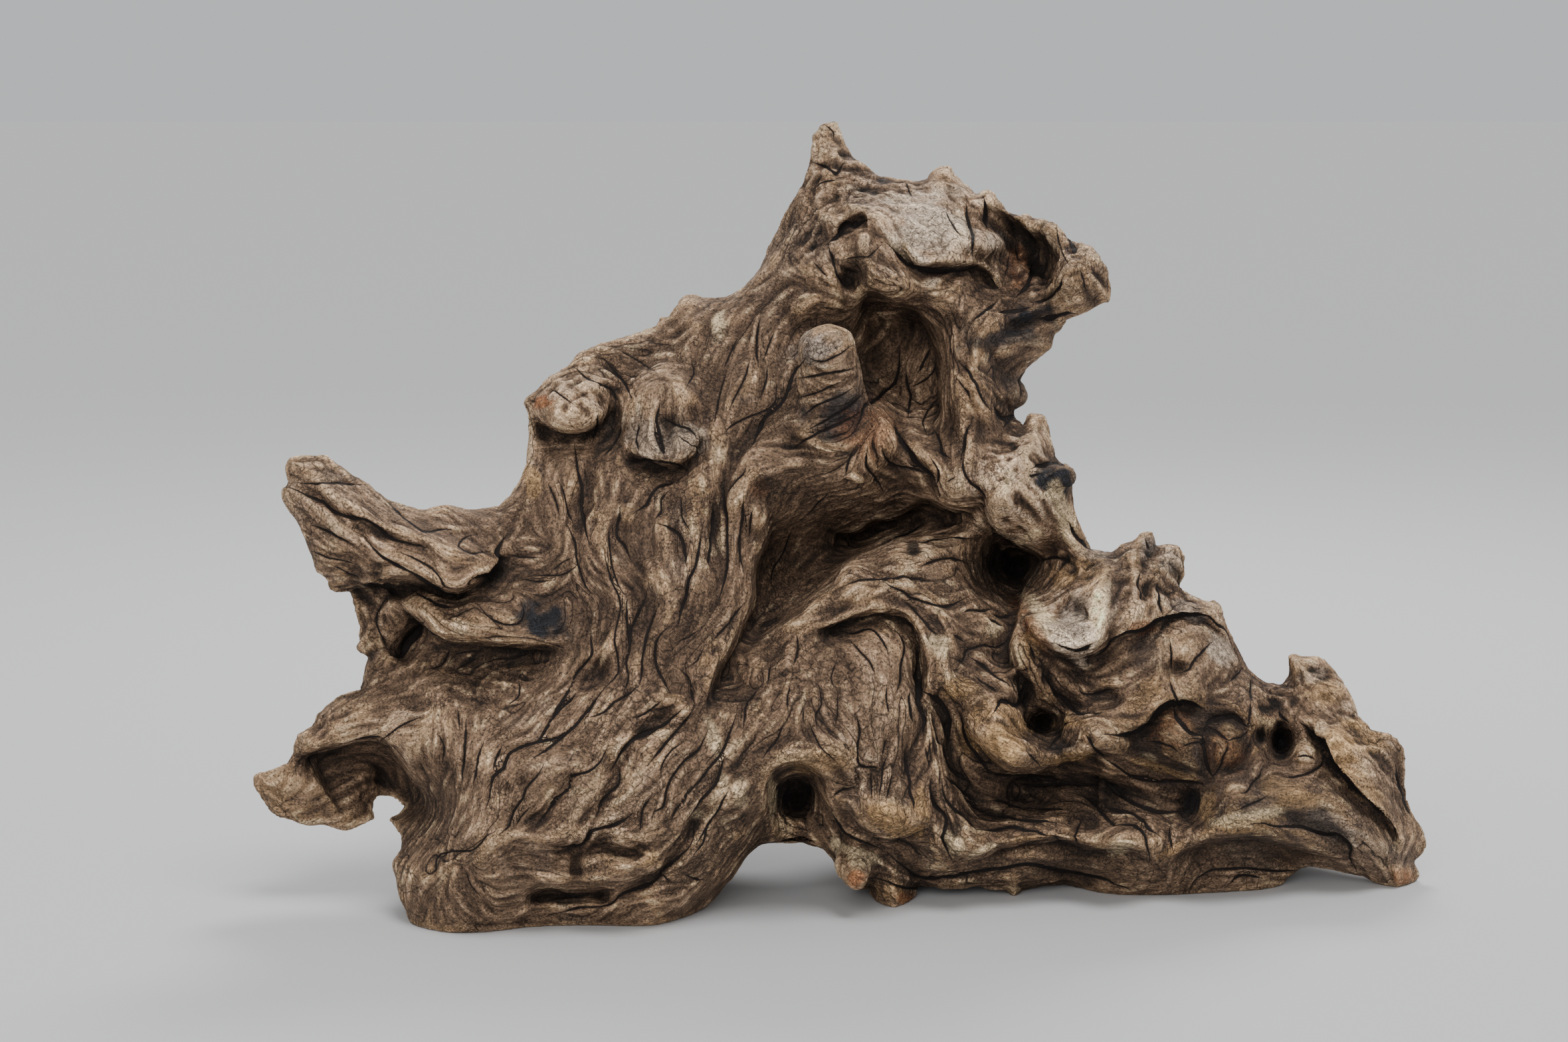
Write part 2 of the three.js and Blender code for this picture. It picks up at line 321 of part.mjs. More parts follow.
// Vaults under the wood, on the floor between its feet: middle and half sizes, in space
const VAULTS = [
  [-20, 78, -2, 24, 60, 32],
  [48, 84, -4, 24, 50, 24],
  [112, 88, -4, 26, 52, 22],
  [140, 30, -8, 26, 24, 16],
  [186, 50, -6, 20, 56, 16],
  [-98, 66, -6, 30, 46, 26],
  [-106, -14, -10, 30, 26, 20],
  [-64, 4, -8, 14, 40, 18],
  [44, 10, -8, 20, 22, 16],
];

const tiltCos = Math.cos(SIGHT_TILT);
const tiltSin = Math.sin(SIGHT_TILT);

// Point in space of a point of the layout
function place(u, v, w) {
  const scale = 1 + w / SIGHT_DISTANCE;
  const across = (u - SIGHT_ACROSS) * scale;
  const up = (v - SIGHT_UP) * scale;
  return [
    across + SIGHT_ACROSS,
    up * tiltSin + w * tiltCos,
    up * tiltCos - w * tiltSin + SIGHT_HEIGHT,
  ];
}

// Smooth surface through points [u, v, value], a thin plate bent over them
function thinPlate(points, column) {
  const count = points.length;
  const size = count + 3;
  const bend = (square) => (square > 0 ? square * Math.log(square) : 0);
  const rows = [];
  for (let i = 0; i < size; i += 1) {
    rows.push(new Float64Array(size + 1));
  }
  for (let i = 0; i < count; i += 1) {
    const [u, v] = points[i];
    for (let j = 0; j < count; j += 1) {
      rows[i][j] = bend((u - points[j][0]) ** 2 + (v - points[j][1]) ** 2);
    }
    [1, u, v].forEach((value, k) => {
      rows[i][count + k] = value;
      rows[count + k][i] = value;
    });
    rows[i][size] = points[i][column];
  }
  const weights = solve(rows);
  return (u, v) => {
    let sum = weights[count] + weights[count + 1] * u + weights[count + 2] * v;
    for (let j = 0; j < count; j += 1) {
      sum += weights[j] * bend((u - points[j][0]) ** 2 + (v - points[j][1]) ** 2);
    }
    return sum;
  };
}

// Solution of a full set of linear equations, by elimination with pivots
function solve(rows) {
  const size = rows.length;
  for (let i = 0; i < size; i += 1) {
    let pivot = i;
    for (let r = i + 1; r < size; r += 1) {
      if (Math.abs(rows[r][i]) > Math.abs(rows[pivot][i])) pivot = r;
    }
    [rows[i], rows[pivot]] = [rows[pivot], rows[i]];
    for (let r = i + 1; r < size; r += 1) {
      const factor = rows[r][i] / rows[i][i];
      for (let c = i; c <= size; c += 1) rows[r][c] -= factor * rows[i][c];
    }
  }
  const result = new Float64Array(size);
  for (let i = size - 1; i >= 0; i -= 1) {
    let sum = rows[i][size];
    for (let c = i + 1; c < size; c += 1) sum -= rows[i][c] * result[c];
    result[i] = sum / rows[i][i];
  }
  return result;
}

// Signed distance from the outline, above nought inside
function outlineDistance(u, v) {
  let nearest = Infinity;
  let inside = false;
  for (let i = 0; i < OUTLINE.length; i += 1) {
    const [au, av] = OUTLINE[i];
    const [bu, bv] = OUTLINE[(i + 1) % OUTLINE.length];
    const du = bu - au;
    const dv = bv - av;
    const along = THREE.MathUtils.clamp(((u - au) * du + (v - av) * dv) / (du * du + dv * dv), 0, 1);
    nearest = Math.min(nearest, Math.hypot(u - au - along * du, v - av - along * dv));
    if (av > v !== bv > v && u < au + ((v - av) / dv) * du) inside = !inside;
  }
  return inside ? nearest : -nearest;
}

// Points of a smooth curve through a line's corners
function curved(line) {
  const curve = new THREE.CatmullRomCurve3(line.map(([u, v]) => new THREE.Vector3(u, v, 0)));
  return curve.getPoints(line.length * 4).map((p) => [p.x, p.y]);
}

// Distance from a line, its side (1 to the left) and a factor that fades the line out at its ends
function nearLine(line, u, v) {
  let best = { distance: Infinity, side: 1, fade: 0 };
  const last = line.length - 1;
  for (let i = 0; i < last; i += 1) {
    const [au, av] = line[i];
    const du = line[i + 1][0] - au;
    const dv = line[i + 1][1] - av;
    const along = THREE.MathUtils.clamp(((u - au) * du + (v - av) * dv) / (du * du + dv * dv), 0, 1);
    const distance = Math.hypot(u - au - along * du, v - av - along * dv);
    if (distance < best.distance) {
      const side = du * (v - av) - dv * (u - au) >= 0 ? 1 : -1;
      const place01 = (i + along) / last;
      const fade = THREE.MathUtils.smoothstep(Math.min(place01, 1 - place01), 0, 0.2);
      best = { distance, side, fade };
    }
  }
  return best;
}

const bell = (x) => Math.exp(-x * x);

// How far the steps, ridges and knobs raise the surface at a place
function relief(steps, ridges, knobs) {
  const stepLines = steps.map(([lift, drop, liftReach, dropReach, line]) => (
    { lift, drop, liftReach, dropReach, line: curved(line) }));
  const ridgeLines = ridges.map(([height, width, line]) => ({ height, width, line: curved(line) }));
  return (u, v) => {
    let raised = 0;
    for (const step of stepLines) {
      const { distance, side, fade } = nearLine(step.line, u, v);
      const above = THREE.MathUtils.smoothstep(side * distance, -STEP_RUN, STEP_RUN);
      raised += fade * (above * step.lift * bell(distance / step.liftReach)
        - (1 - above) * step.drop * bell(distance / step.dropReach));
    }
    for (const ridge of ridgeLines) {
      const { distance, fade } = nearLine(ridge.line, u, v);
      raised += fade * ridge.height * bell(distance / ridge.width);
    }
    for (const [ku, kv, wide, high, turn, height] of knobs) {
      const angle = THREE.MathUtils.degToRad(turn);
      const du = u - ku;
      const dv = v - kv;
      const across = (du * Math.cos(angle) + dv * Math.sin(angle)) / wide;
      const up = (dv * Math.cos(angle) - du * Math.sin(angle)) / high;
      raised += height * bell(Math.hypot(across, up) ** 1.5);
    }
    return raised;
  };
}

const frontPlate = thinPlate(FRONT_POINTS, 2);
const backPlate = thinPlate(BACK_POINTS, 2);
const frontRelief = relief(FRONT_STEPS, FRONT_RIDGES, FRONT_KNOBS);
const backRelief = relief(BACK_STEPS, BACK_RIDGES, BACK_KNOBS);

// Share of the full thickness that is left at a distance from the outline, below nought outside
function edgeShare(distance, round) {
  const inward = distance / round;
  return inward > 0 ? Math.sqrt(1 - (1 - Math.min(inward, 1)) ** 2) : inward / EDGE_FALL;
}

// Front and back depth of the wood along one line of sight, drawn together to a round edge
function column(u, v) {
  const distance = outlineDistance(u, v);
  const frontBase = frontPlate(u, v);
  const backBase = backPlate(u, v);
  const middle = frontBase + FORE_SHARE * (backBase - frontBase);
  const frontDepth = frontBase - frontRelief(u, v) - middle;
  const backDepth = backBase + backRelief(u, v) - middle;
  return {
    front: middle + edgeShare(distance, FRONT_ROUND) * frontDepth,
    back: middle + edgeShare(distance, BACK_ROUND) * backDepth,
  };
}

// Smooth largest of two depths
function softMax(a, b, blend) {
  const mix = Math.max(blend - Math.abs(a - b), 0) / blend;
  return Math.max(a, b) + mix * mix * blend / 4;
}

// Depth below the skin of a tapered stub, below nought outside
function stubDepth([start, startRadius, end, endRadius], u, v, w) {
  const axis = end.map((value, k) => value - start[k]);
  const offset = [u - start[0], v - start[1], w - start[2]];
  const length = Math.hypot(...axis);
  const dot = axis.reduce((sum, value, k) => sum + value * offset[k], 0);
  const along = THREE.MathUtils.clamp(dot / (length * length), 0, 1);
  const distance = Math.hypot(...axis.map((value, k) => offset[k] - along * value));
  return startRadius + along * (endRadius - startRadius) - distance;
}

// Depth inside a vault, below nought outside
function vaultDepth([mx, my, mz, rx, ry, rz], [x, y, z]) {
  const reach = Math.hypot((x - mx) / rx, (y - my) / ry, (z - mz) / rz);
  return (1 - reach) * Math.min(rx, ry, rz);
}

// Depth below the skin of the whole at a point of the layout, below nought outside
function depthInside(sight, u, v, w) {
  let depth = Math.min(w - sight.front, sight.back - w);
  for (const stub of STUBS) depth = softMax(depth, stubDepth(stub, u, v, w), STUB_BLEND);
  const point = place(u, v, w);
  for (const vault of VAULTS) depth = -softMax(-depth, vaultDepth(vault, point), VAULT_BLEND);
  return depth;
}

// Closed surface where the depth is nought: each cell of a grid is cut into six tetrahedra, and the
// surface crosses each of them in one or two triangles
function skin() {
  const counts = LOW_CORNER.map((low, k) => Math.ceil((HIGH_CORNER[k] - low) / CELL) + 1);
  const [nu, nv, nw] = counts;
  const at = (index) => [
    LOW_CORNER[0] + CELL * (index % nu),
    LOW_CORNER[1] + CELL * (Math.floor(index / nu) % nv),
    LOW_CORNER[2] + CELL * Math.floor(index / (nu * nv)),
  ];
  const depths = new Float64Array(nu * nv * nw);
  for (let j = 0; j < nv; j += 1) {
    for (let i = 0; i < nu; i += 1) {
      const u = LOW_CORNER[0] + CELL * i;
      const v = LOW_CORNER[1] + CELL * j;
      const sight = column(u, v);
      for (let k = 0; k < nw; k += 1) {
        const w = LOW_CORNER[2] + CELL * k;
        const border = i === 0 || j === 0 || k === 0 || i === nu - 1 || j === nv - 1 || k === nw - 1;
        depths[i + nu * (j + nv * k)] = border ? -CELL : depthInside(sight, u, v, w) || -1e-6;
      }
    }
  }
  const positions = [];
  const crossings = new Map();
  const crossing = (a, b) => {
    const [low, high] = a < b ? [a, b] : [b, a];
    const key = low * depths.length + high;
    if (!crossings.has(key)) {
      const t = depths[low] / (depths[low] - depths[high]);
      const from = at(low);
      const to = at(high);
      crossings.set(key, positions.length);
      positions.push(place(...from.map((value, k) => value + t * (to[k] - value))));
    }
    return crossings.get(key);
  };
  const steps = [1, nu, nu * nv];
  const orders = [[0, 1, 2], [0, 2, 1], [1, 0, 2], [1, 2, 0], [2, 0, 1], [2, 1, 0]];
  const faces = [];
  for (let k = 0; k < nw - 1; k += 1) {
    for (let j = 0; j < nv - 1; j += 1) {
      for (let i = 0; i < nu - 1; i += 1) {
        const first = i + nu * (j + nv * k);
        for (const order of orders) {
          const odd = (order[1] - order[0] + 3) % 3 === 2;
          const corners = [first];
          for (const axis of order) corners.push(corners[corners.length - 1] + steps[axis]);
          cutTetrahedron(odd ? [corners[0], corners[2], corners[1], corners[3]] : corners);
        }
      }
    }
  }
  function cutTetrahedron(corners) {
    const inner = corners.filter((corner) => depths[corner] > 0);
    if (inner.length === 0 || inner.length === 4) return;
    const outer = corners.filter((corner) => depths[corner] <= 0);
    const swaps = [...inner, ...outer].map((corner) => corners.indexOf(corner));
    let turns = 0;
    for (let a = 0; a < 4; a += 1) {
      for (let b = a + 1; b < 4; b += 1) turns += swaps[a] > swaps[b] ? 1 : 0;
    }
    const ring = [];
    if (inner.length === 1) ring.push([0, 0], [0, 1], [0, 2]);
    if (inner.length === 2) ring.push([0, 0], [0, 1], [1, 1], [1, 0]);
    if (inner.length === 3) ring.push([0, 0], [1, 0], [2, 0]);
    const points = ring.map(([a, b]) => crossing(inner[a], outer[b]));
    if (turns % 2 === 0) points.reverse();
    faces.push([points[0], points[1], points[2]]);
    if (points.length === 4) faces.push([points[0], points[2], points[3]]);
  }
  return { positions, faces };
}

const subtract = (a, b) => [a[0] - b[0], a[1] - b[1], a[2] - b[2]];
const cross = (a, b) => [
  a[1] * b[2] - a[2] * b[1], a[2] * b[0] - a[0] * b[2], a[0] * b[1] - a[1] * b[0]];
const dot = (a, b) => a[0] * b[0] + a[1] * b[1] + a[2] * b[2];

// Largest body of a surface, with its own points only
function largestBody({ positions, faces }) {
  const parent = positions.map((_, index) => index);
  const root = (index) => {
    let node = index;
    while (parent[node] !== node) {
      parent[node] = parent[parent[node]];
      node = parent[node];
    }
    return node;
  };
  for (const [a, b, c] of faces) {
    parent[root(b)] = root(a);
    parent[root(c)] = root(a);
  }
  const volumes = new Map();
  for (const face of faces) {
    const [a, b, c] = face.map((index) => positions[index]);
    const key = root(face[0]);
    volumes.set(key, (volumes.get(key) ?? 0) + dot(a, cross(b, c)) / 6);
  }
  const [largest] = [...volumes].sort((a, b) => b[1] - a[1])[0];
  return { positions, faces: faces.filter((face) => root(face[0]) === largest) };
}

// Same surface with fewer faces: the edge whose loss moves the surface least is drawn together first.
// A point's error is a symmetric 4 by 4 table, kept as its ten values.
function simplified({ positions, faces }, target) {
  const points = positions.map((point) => [...point]);
  const live = faces.map((face) => [...face]);
  const around = points.map(() => new Set());
  const errors = points.map(() => new Float64Array(10));
  live.forEach(([a, b, c], index) => {
    const normal = cross(subtract(points[b], points[a]), subtract(points[c], points[a]));
    const area = Math.hypot(...normal);
    if (area > 0) {
      const [nx, ny, nz] = normal.map((value) => value / area);
      const d = -dot([nx, ny, nz], points[a]);
      const table = [nx * nx, nx * ny, nx * nz, nx * d, ny * ny, ny * nz, ny * d, nz * nz, nz * d, d * d];
      for (const corner of [a, b, c]) {
        table.forEach((value, k) => {
          errors[corner][k] += value * area;
        });
      }
    }
    for (const corner of [a, b, c]) around[corner].add(index);
  });
  const errorAt = (t, [x, y, z]) => (
    t[0] * x * x + 2 * t[1] * x * y + 2 * t[2] * x * z + 2 * t[3] * x + t[4] * y * y
    + 2 * t[5] * y * z + 2 * t[6] * y + t[7] * z * z + 2 * t[8] * z + t[9]);
  const merged = (a, b) => {
    const table = errors[a].map((value, k) => value + errors[b][k]);
    const candidates = [0, 0.25, 0.5, 0.75, 1].map((t) => (
      points[a].map((value, k) => value + t * (points[b][k] - value))));
    const costs = candidates.map((point) => errorAt(table, point));
    const least = costs.indexOf(Math.min(...costs));
    const length = Math.hypot(...subtract(points[a], points[b]));
    return { table, point: candidates[least], cost: costs[least] + length * length * 0.02 };
  };
  const stamps = new Int32Array(points.length);
  const heap = [];
  const push = (entry) => {
    heap.push(entry);
    let i = heap.length - 1;
    while (i > 0) {
      const up = (i - 1) >> 1;
      if (heap[up].cost <= heap[i].cost) break;
      [heap[up], heap[i]] = [heap[i], heap[up]];
      i = up;
    }
  };
  const pop = () => {
    const top = heap[0];
    const last = heap.pop();
    if (heap.length > 0) {
      heap[0] = last;
      let i = 0;
      for (;;) {
        const left = 2 * i + 1;
        let least = i;
        if (left < heap.length && heap[left].cost < heap[least].cost) least = left;
        if (left + 1 < heap.length && heap[left + 1].cost < heap[least].cost) least = left + 1;
        if (least === i) break;
        [heap[least], heap[i]] = [heap[i], heap[least]];
        i = least;
      }
    }
    return top;
  };
  const neighbours = (a) => {
    const found = new Set();
    for (const index of around[a]) live[index].forEach((corner) => found.add(corner));
    found.delete(a);
    return found;
  };
  const offer = (a, b) => push({ a, b, sa: stamps[a], sb: stamps[b], cost: merged(a, b).cost });
  points.forEach((_, a) => neighbours(a).forEach((b) => {
    if (a < b) offer(a, b);
  }));
  const turnsOver = (a, b, point) => {
    for (const index of around[a]) {
      const face = live[index];
      if (!face.includes(b)) {
        const before = face.map((corner) => points[corner]);
        const after = face.map((corner) => (corner === a ? point : points[corner]));
        const [n, m] = [before, after].map(([p, q, r]) => cross(subtract(q, p), subtract(r, p)));
        if (dot(n, m) < 0.3 * Math.hypot(...n) * Math.hypot(...m)) return true;
      }
    }
    return false;
  };
  let count = live.length;
  while (count > target && heap.length > 0) {
    const { a, b, sa, sb } = pop();
    if (stamps[a] === sa && stamps[b] === sb) {
      const near = neighbours(b);
      const shared = [...neighbours(a)].filter((corner) => near.has(corner));
      const { table, point } = merged(a, b);
      if (shared.length === 2 && !turnsOver(a, b, point) && !turnsOver(b, a, point)) {
        for (const index of [...around[b]]) {
          if (live[index].includes(a)) {
            live[index].forEach((corner) => around[corner].delete(index));
            live[index] = null;
            count -= 1;
          } else {
            live[index] = live[index].map((corner) => (corner === b ? a : corner));
            around[a].add(index);
          }
        }
        around[b].clear();
        points[a] = point;
        errors[a] = table;
        stamps[a] += 1;
        stamps[b] = -1;
        neighbours(a).forEach((corner) => offer(a, corner));
      }
    }
  }
  return { positions: points, faces: live.filter((face) => face !== null) };
}

// Solid for joining and cutting, from a surface or from a box between two corners
function solidOf({ positions, faces }) {
  const order = new Map();
  const triangles = faces.flat().map((index) => {
    if (!order.has(index)) order.set(index, order.size);
    return order.get(index);
  });
  const vertices = [...order.keys()].flatMap((index) => positions[index]);
  return new wasm.Manifold(new wasm.Mesh({
    numProp: 3, vertProperties: new Float32Array(vertices), triVerts: new Uint32Array(triangles),
  }));
}

function boxSolid(low, high) {
  const corner = (index) => [0, 1, 2].map((k) => ((index >> k) & 1 ? high[k] : low[k]));
  const positions = [0, 1, 2, 3, 4, 5, 6, 7].map(corner);
  const sides = [[0, 2, 3, 1], [4, 5, 7, 6], [0, 1, 5, 4], [2, 6, 7, 3], [0, 4, 6, 2], [1, 3, 7, 5]];
  const faces = sides.flatMap(([a, b, c, d]) => [[a, b, c], [a, c, d]]);
  return solidOf({ positions, faces });
}

// Mesh of a limb: the largest body of its solid, without the crumbs that a cut leaves
function meshOf(solid, name, color) {
  const { vertProperties, triVerts } = solid.getMesh();
  const positions = [];
  const faces = [];
  for (let i = 0; i < vertProperties.length; i += 3) {
    positions.push([...vertProperties.slice(i, i + 3)]);
  }
  for (let i = 0; i < triVerts.length; i += 3) faces.push([...triVerts.slice(i, i + 3)]);
  const body = largestBody({ positions, faces });
  const geometry = new THREE.BufferGeometry();
  geometry.setAttribute('position', new THREE.Float32BufferAttribute(body.positions.flat(), 3));
  geometry.setIndex(body.faces.flat());
  geometry.translate(-MIDDLE_X, -MIDDLE_Y, 0);
  geometry.computeVertexNormals();
  const material = new THREE.MeshStandardMaterial({ color, roughness: 0.85, metalness: 0 });
  const mesh = new THREE.Mesh(geometry, material);
  mesh.name = name;
  return mesh;
}

// Forks of the wood, in the order in which they part from the rest: name, low corner, high corner and
// colour of the space that holds the limb
const FORKS = [
  ['crown', [-45, -FAR, 228], [FAR, FAR, FAR], 0x8a6a4c],
  ['left_shoulder', [-FAR, -FAR, 178], [-45, FAR, FAR], 0x7d5d42],
  ['left_horn', [-FAR, -FAR, 104], [-127, FAR, FAR], 0x8d6f52],
  ['lower_left_root', [-FAR, -FAR, 30], [-165.5, FAR, 104], 0x74583f],
  ['right_root', [70, -FAR, -FAR], [FAR, FAR, 139], 0x7a5c42],
  ['left_fan', [-FAR, -FAR, -FAR], [-24, FAR, 228], 0x6e5039],
];

const whole = solidOf(simplified(largestBody(skin()), FACE_TARGET));
let rest = whole.intersect(boxSolid([-FAR, -FAR, 0], [FAR, FAR, FAR]));
const group = new THREE.Group();
for (const [name, low, high, color] of FORKS) {
  const grown = (corner, sign) => corner.map((value) => value + sign * FORK_GAP);
  group.add(meshOf(rest.intersect(boxSolid(low, high)), name, color));
  rest = rest.subtract(boxSolid(grown(low, -1), grown(high, 1)));
}
group.add(meshOf(rest, 'middle_root', 0x6a4d37));

export default group;
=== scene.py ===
"""Root wood for a planted tank: the weathered skin of the stump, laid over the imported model.

The forms are laid out as they are seen from the front: across (u) and up (v) in millimetres, and a depth
(w) that grows away from the viewer. place() sets them out in the frame of the model.
"""
import math

import bpy
import numpy as np
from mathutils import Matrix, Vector


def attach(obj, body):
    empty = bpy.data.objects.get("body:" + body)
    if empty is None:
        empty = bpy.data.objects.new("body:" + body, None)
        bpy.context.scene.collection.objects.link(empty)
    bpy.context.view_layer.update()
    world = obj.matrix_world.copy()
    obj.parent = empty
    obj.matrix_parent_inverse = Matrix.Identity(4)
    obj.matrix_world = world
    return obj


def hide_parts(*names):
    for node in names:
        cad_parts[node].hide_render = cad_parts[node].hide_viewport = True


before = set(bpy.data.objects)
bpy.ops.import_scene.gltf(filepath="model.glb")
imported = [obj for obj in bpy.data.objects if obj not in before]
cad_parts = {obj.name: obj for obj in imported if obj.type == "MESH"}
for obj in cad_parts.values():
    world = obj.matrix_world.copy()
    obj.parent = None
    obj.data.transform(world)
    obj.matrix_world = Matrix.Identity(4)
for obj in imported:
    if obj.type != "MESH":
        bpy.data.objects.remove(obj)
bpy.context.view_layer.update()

MM = 0.001

# Line of sight
SIGHT_DISTANCE = 1150.0
SIGHT_TILT = math.radians(8)
SIGHT_ACROSS = -21.25
SIGHT_UP = 155.25
SIGHT_HEIGHT = 144.3
SIGHT_WIDTH = 590.0

# Middle of the wood seen from above, which is the model's origin
MIDDLE_X = 3.93
MIDDLE_Y = 13.48

# Sizes of the form, mm: rounding of the edge to the front and to the back, run of a step's rise, blends
# of the stubs and vaults, margin round a vault, and the height that all vaults stay below
FRONT_ROUND = 22.0
BACK_ROUND = 50.0
STEP_RUN = 1.3
STUB_BLEND = 10.0
VAULT_BLEND = 5.0
VAULT_MARGIN = 6.0
VAULTS_TOP = 52.0

# Share of the depth that lies before the edge, and how fast the surface falls away outside it
FORE_SHARE = 0.34
EDGE_FALL = 0.25

# Reach of a bell curve in its own widths, and share of a line's length over which its ends fade
BELL_REACH = 2.5
LINE_FADE = 0.2

# Cracks and painted shadow lines: reach of their marks, mm, share of the half width that is left at their
# ends, and share of the length over which they taper
CRACK_REACH = 2.5
FAR_FROM_CRACKS = 9.0
CRACK_END = 0.25
CRACK_TAPER = 0.25

# How far the rim of an open end turns into the wood, mm
TURN_IN = 2.0

# Pitch of the layout's nodes and of the sheets of grain, mm
CELL = 0.93
GRAIN_CELL = 0.4

# Span of the layout that holds every form, mm
LOW_CORNER = (-228.0, -16.0, -72.0)
HIGH_CORNER = (228.0, 314.0, 112.0)

# Edge of the wood seen from the front, clockwise from the tip of the left horn. Soles run below the
# floor, where they are cut flat.
OUTLINE = [
    [-208, 179], [-203, 180], [-194, 180], [-187, 175], [-178, 169.5], [-169, 162], [-157, 159],
    [-149, 161.5], [-137, 159], [-128, 160.5], [-121.5, 168], [-118, 177], [-117, 186], [-118, 196],
    [-120, 200], [-115, 204], [-109.5, 210], [-104, 213], [-98, 219], [-92, 221.5], [-85, 224],
    [-75, 226.5], [-70, 228], [-68, 232], [-65, 231.5], [-62, 236], [-59.5, 240], [-54, 240.5],
    [-52, 239], [-47, 239], [-41.5, 240], [-36.5, 243], [-32.5, 247], [-28, 253.5], [-25, 259],
    [-21, 271], [-14.5, 281.5], [-11.5, 293], [-10.5, 300.5], [-6, 306], [-1.5, 306], [0.5, 301],
    [2.5, 296], [5, 292.5], [9, 289.5], [13.5, 285], [24.5, 284], [28.5, 283], [32.5, 284],
    [35.5, 288], [41, 288.5], [43.5, 284.5], [48.5, 280.5], [51.5, 278], [55.5, 280], [57.5, 278],
    [60.5, 274], [64.5, 271], [76.5, 269], [81.5, 267], [84, 264], [88.5, 260], [93.5, 259],
    [97, 256], [100, 251], [101, 247], [102, 242], [101, 238], [95, 235], [85.5, 231], [83, 227],
    [80, 225], [79.5, 220], [75, 216.5], [70.5, 213.5], [67.5, 208], [69, 206], [70.5, 202],
    [69.5, 199.5], [65, 197], [66, 193], [69, 191], [71, 196], [76.5, 195.5], [79, 188],
    [80.5, 179], [84, 176.5], [87, 174], [87, 169], [87.5, 162], [89, 156], [94, 144.5], [102, 143.5],
    [106.5, 146.5], [110, 147], [113.5, 150.5], [116.5, 151.5], [118, 150], [118.8, 145.5],
    [124.5, 146.5], [127.5, 145.5], [129.5, 142], [129, 135], [128, 131], [130, 127.5], [135, 125.5],
    [138.5, 124.5], [140.5, 126], [144, 123], [143.5, 119.5], [148.5, 110], [153.5, 100],
    [157.5, 96], [162, 94], [166, 94], [169, 97], [168, 104], [170.5, 105.5], [174, 104.5],
    [179, 105], [182.5, 103], [186, 99], [190, 93], [193, 87.5], [194.5, 82], [199, 77], [204, 76],
    [208.5, 74], [212, 70], [213, 66], [212, 61], [213.5, 51], [215, 46], [220, 37.5], [221, 33],
    [219, 29.5], [216, 27], [218, 23], [217, 19], [214, 6], [206, 6], [203, 18], [196.5, 21.5],
    [186.5, 23], [176, 22], [171, 18], [166, 2], [96, 0], [90, 16], [84.5, 18.5], [77, 18],
    [69, 16], [68, 4], [63, 4], [62, 15.5], [52, 17], [46, 15.5], [37, 15], [29.5, 17], [29, 12],
    [31, -4], [11, -4], [12.5, 11], [11, 17], [8.5, 17], [5.5, 16.5], [2, 19], [2, 23], [-1, 24.5],
    [-3, 28], [-6, 31.5], [-10, 33], [-15, 35], [-23, 34.5], [-30, 34], [-34, 30.5], [-37.5, 26.5],
    [-42, 19.5], [-47, 14], [-52, 8], [-60, -12], [-158, -14], [-163.5, 8.5], [-166, 13],
    [-167, 18], [-168, 27], [-165, 32], [-165, 36], [-168, 41], [-170, 43], [-166, 45.5],
    [-164, 48], [-168, 51], [-172, 51.5], [-175.5, 50.5], [-176, 46], [-175, 43], [-179, 41.5],
    [-186.5, 39.5], [-194, 41], [-201, 41], [-206, 42.5], [-211.5, 43.5], [-214.5, 46.5],
    [-219, 52.5], [-221, 56], [-220.5, 60], [-212, 62.5], [-208.5, 64], [-206, 67], [-205, 71],
    [-203.5, 75], [-197.5, 79], [-196.5, 82.5], [-191, 87], [-187.5, 89.5], [-180, 92], [-178.5, 99],
    [-177, 104.5], [-180, 105], [-182, 107.5], [-180, 115], [-184, 124.5], [-185, 129],
    [-190, 129], [-193, 130.5], [-193, 133.5], [-197, 137], [-200, 144], [-205, 156], [-209.5, 163.5],
    [-210.5, 167], [-207.5, 170], [-209, 175],
]

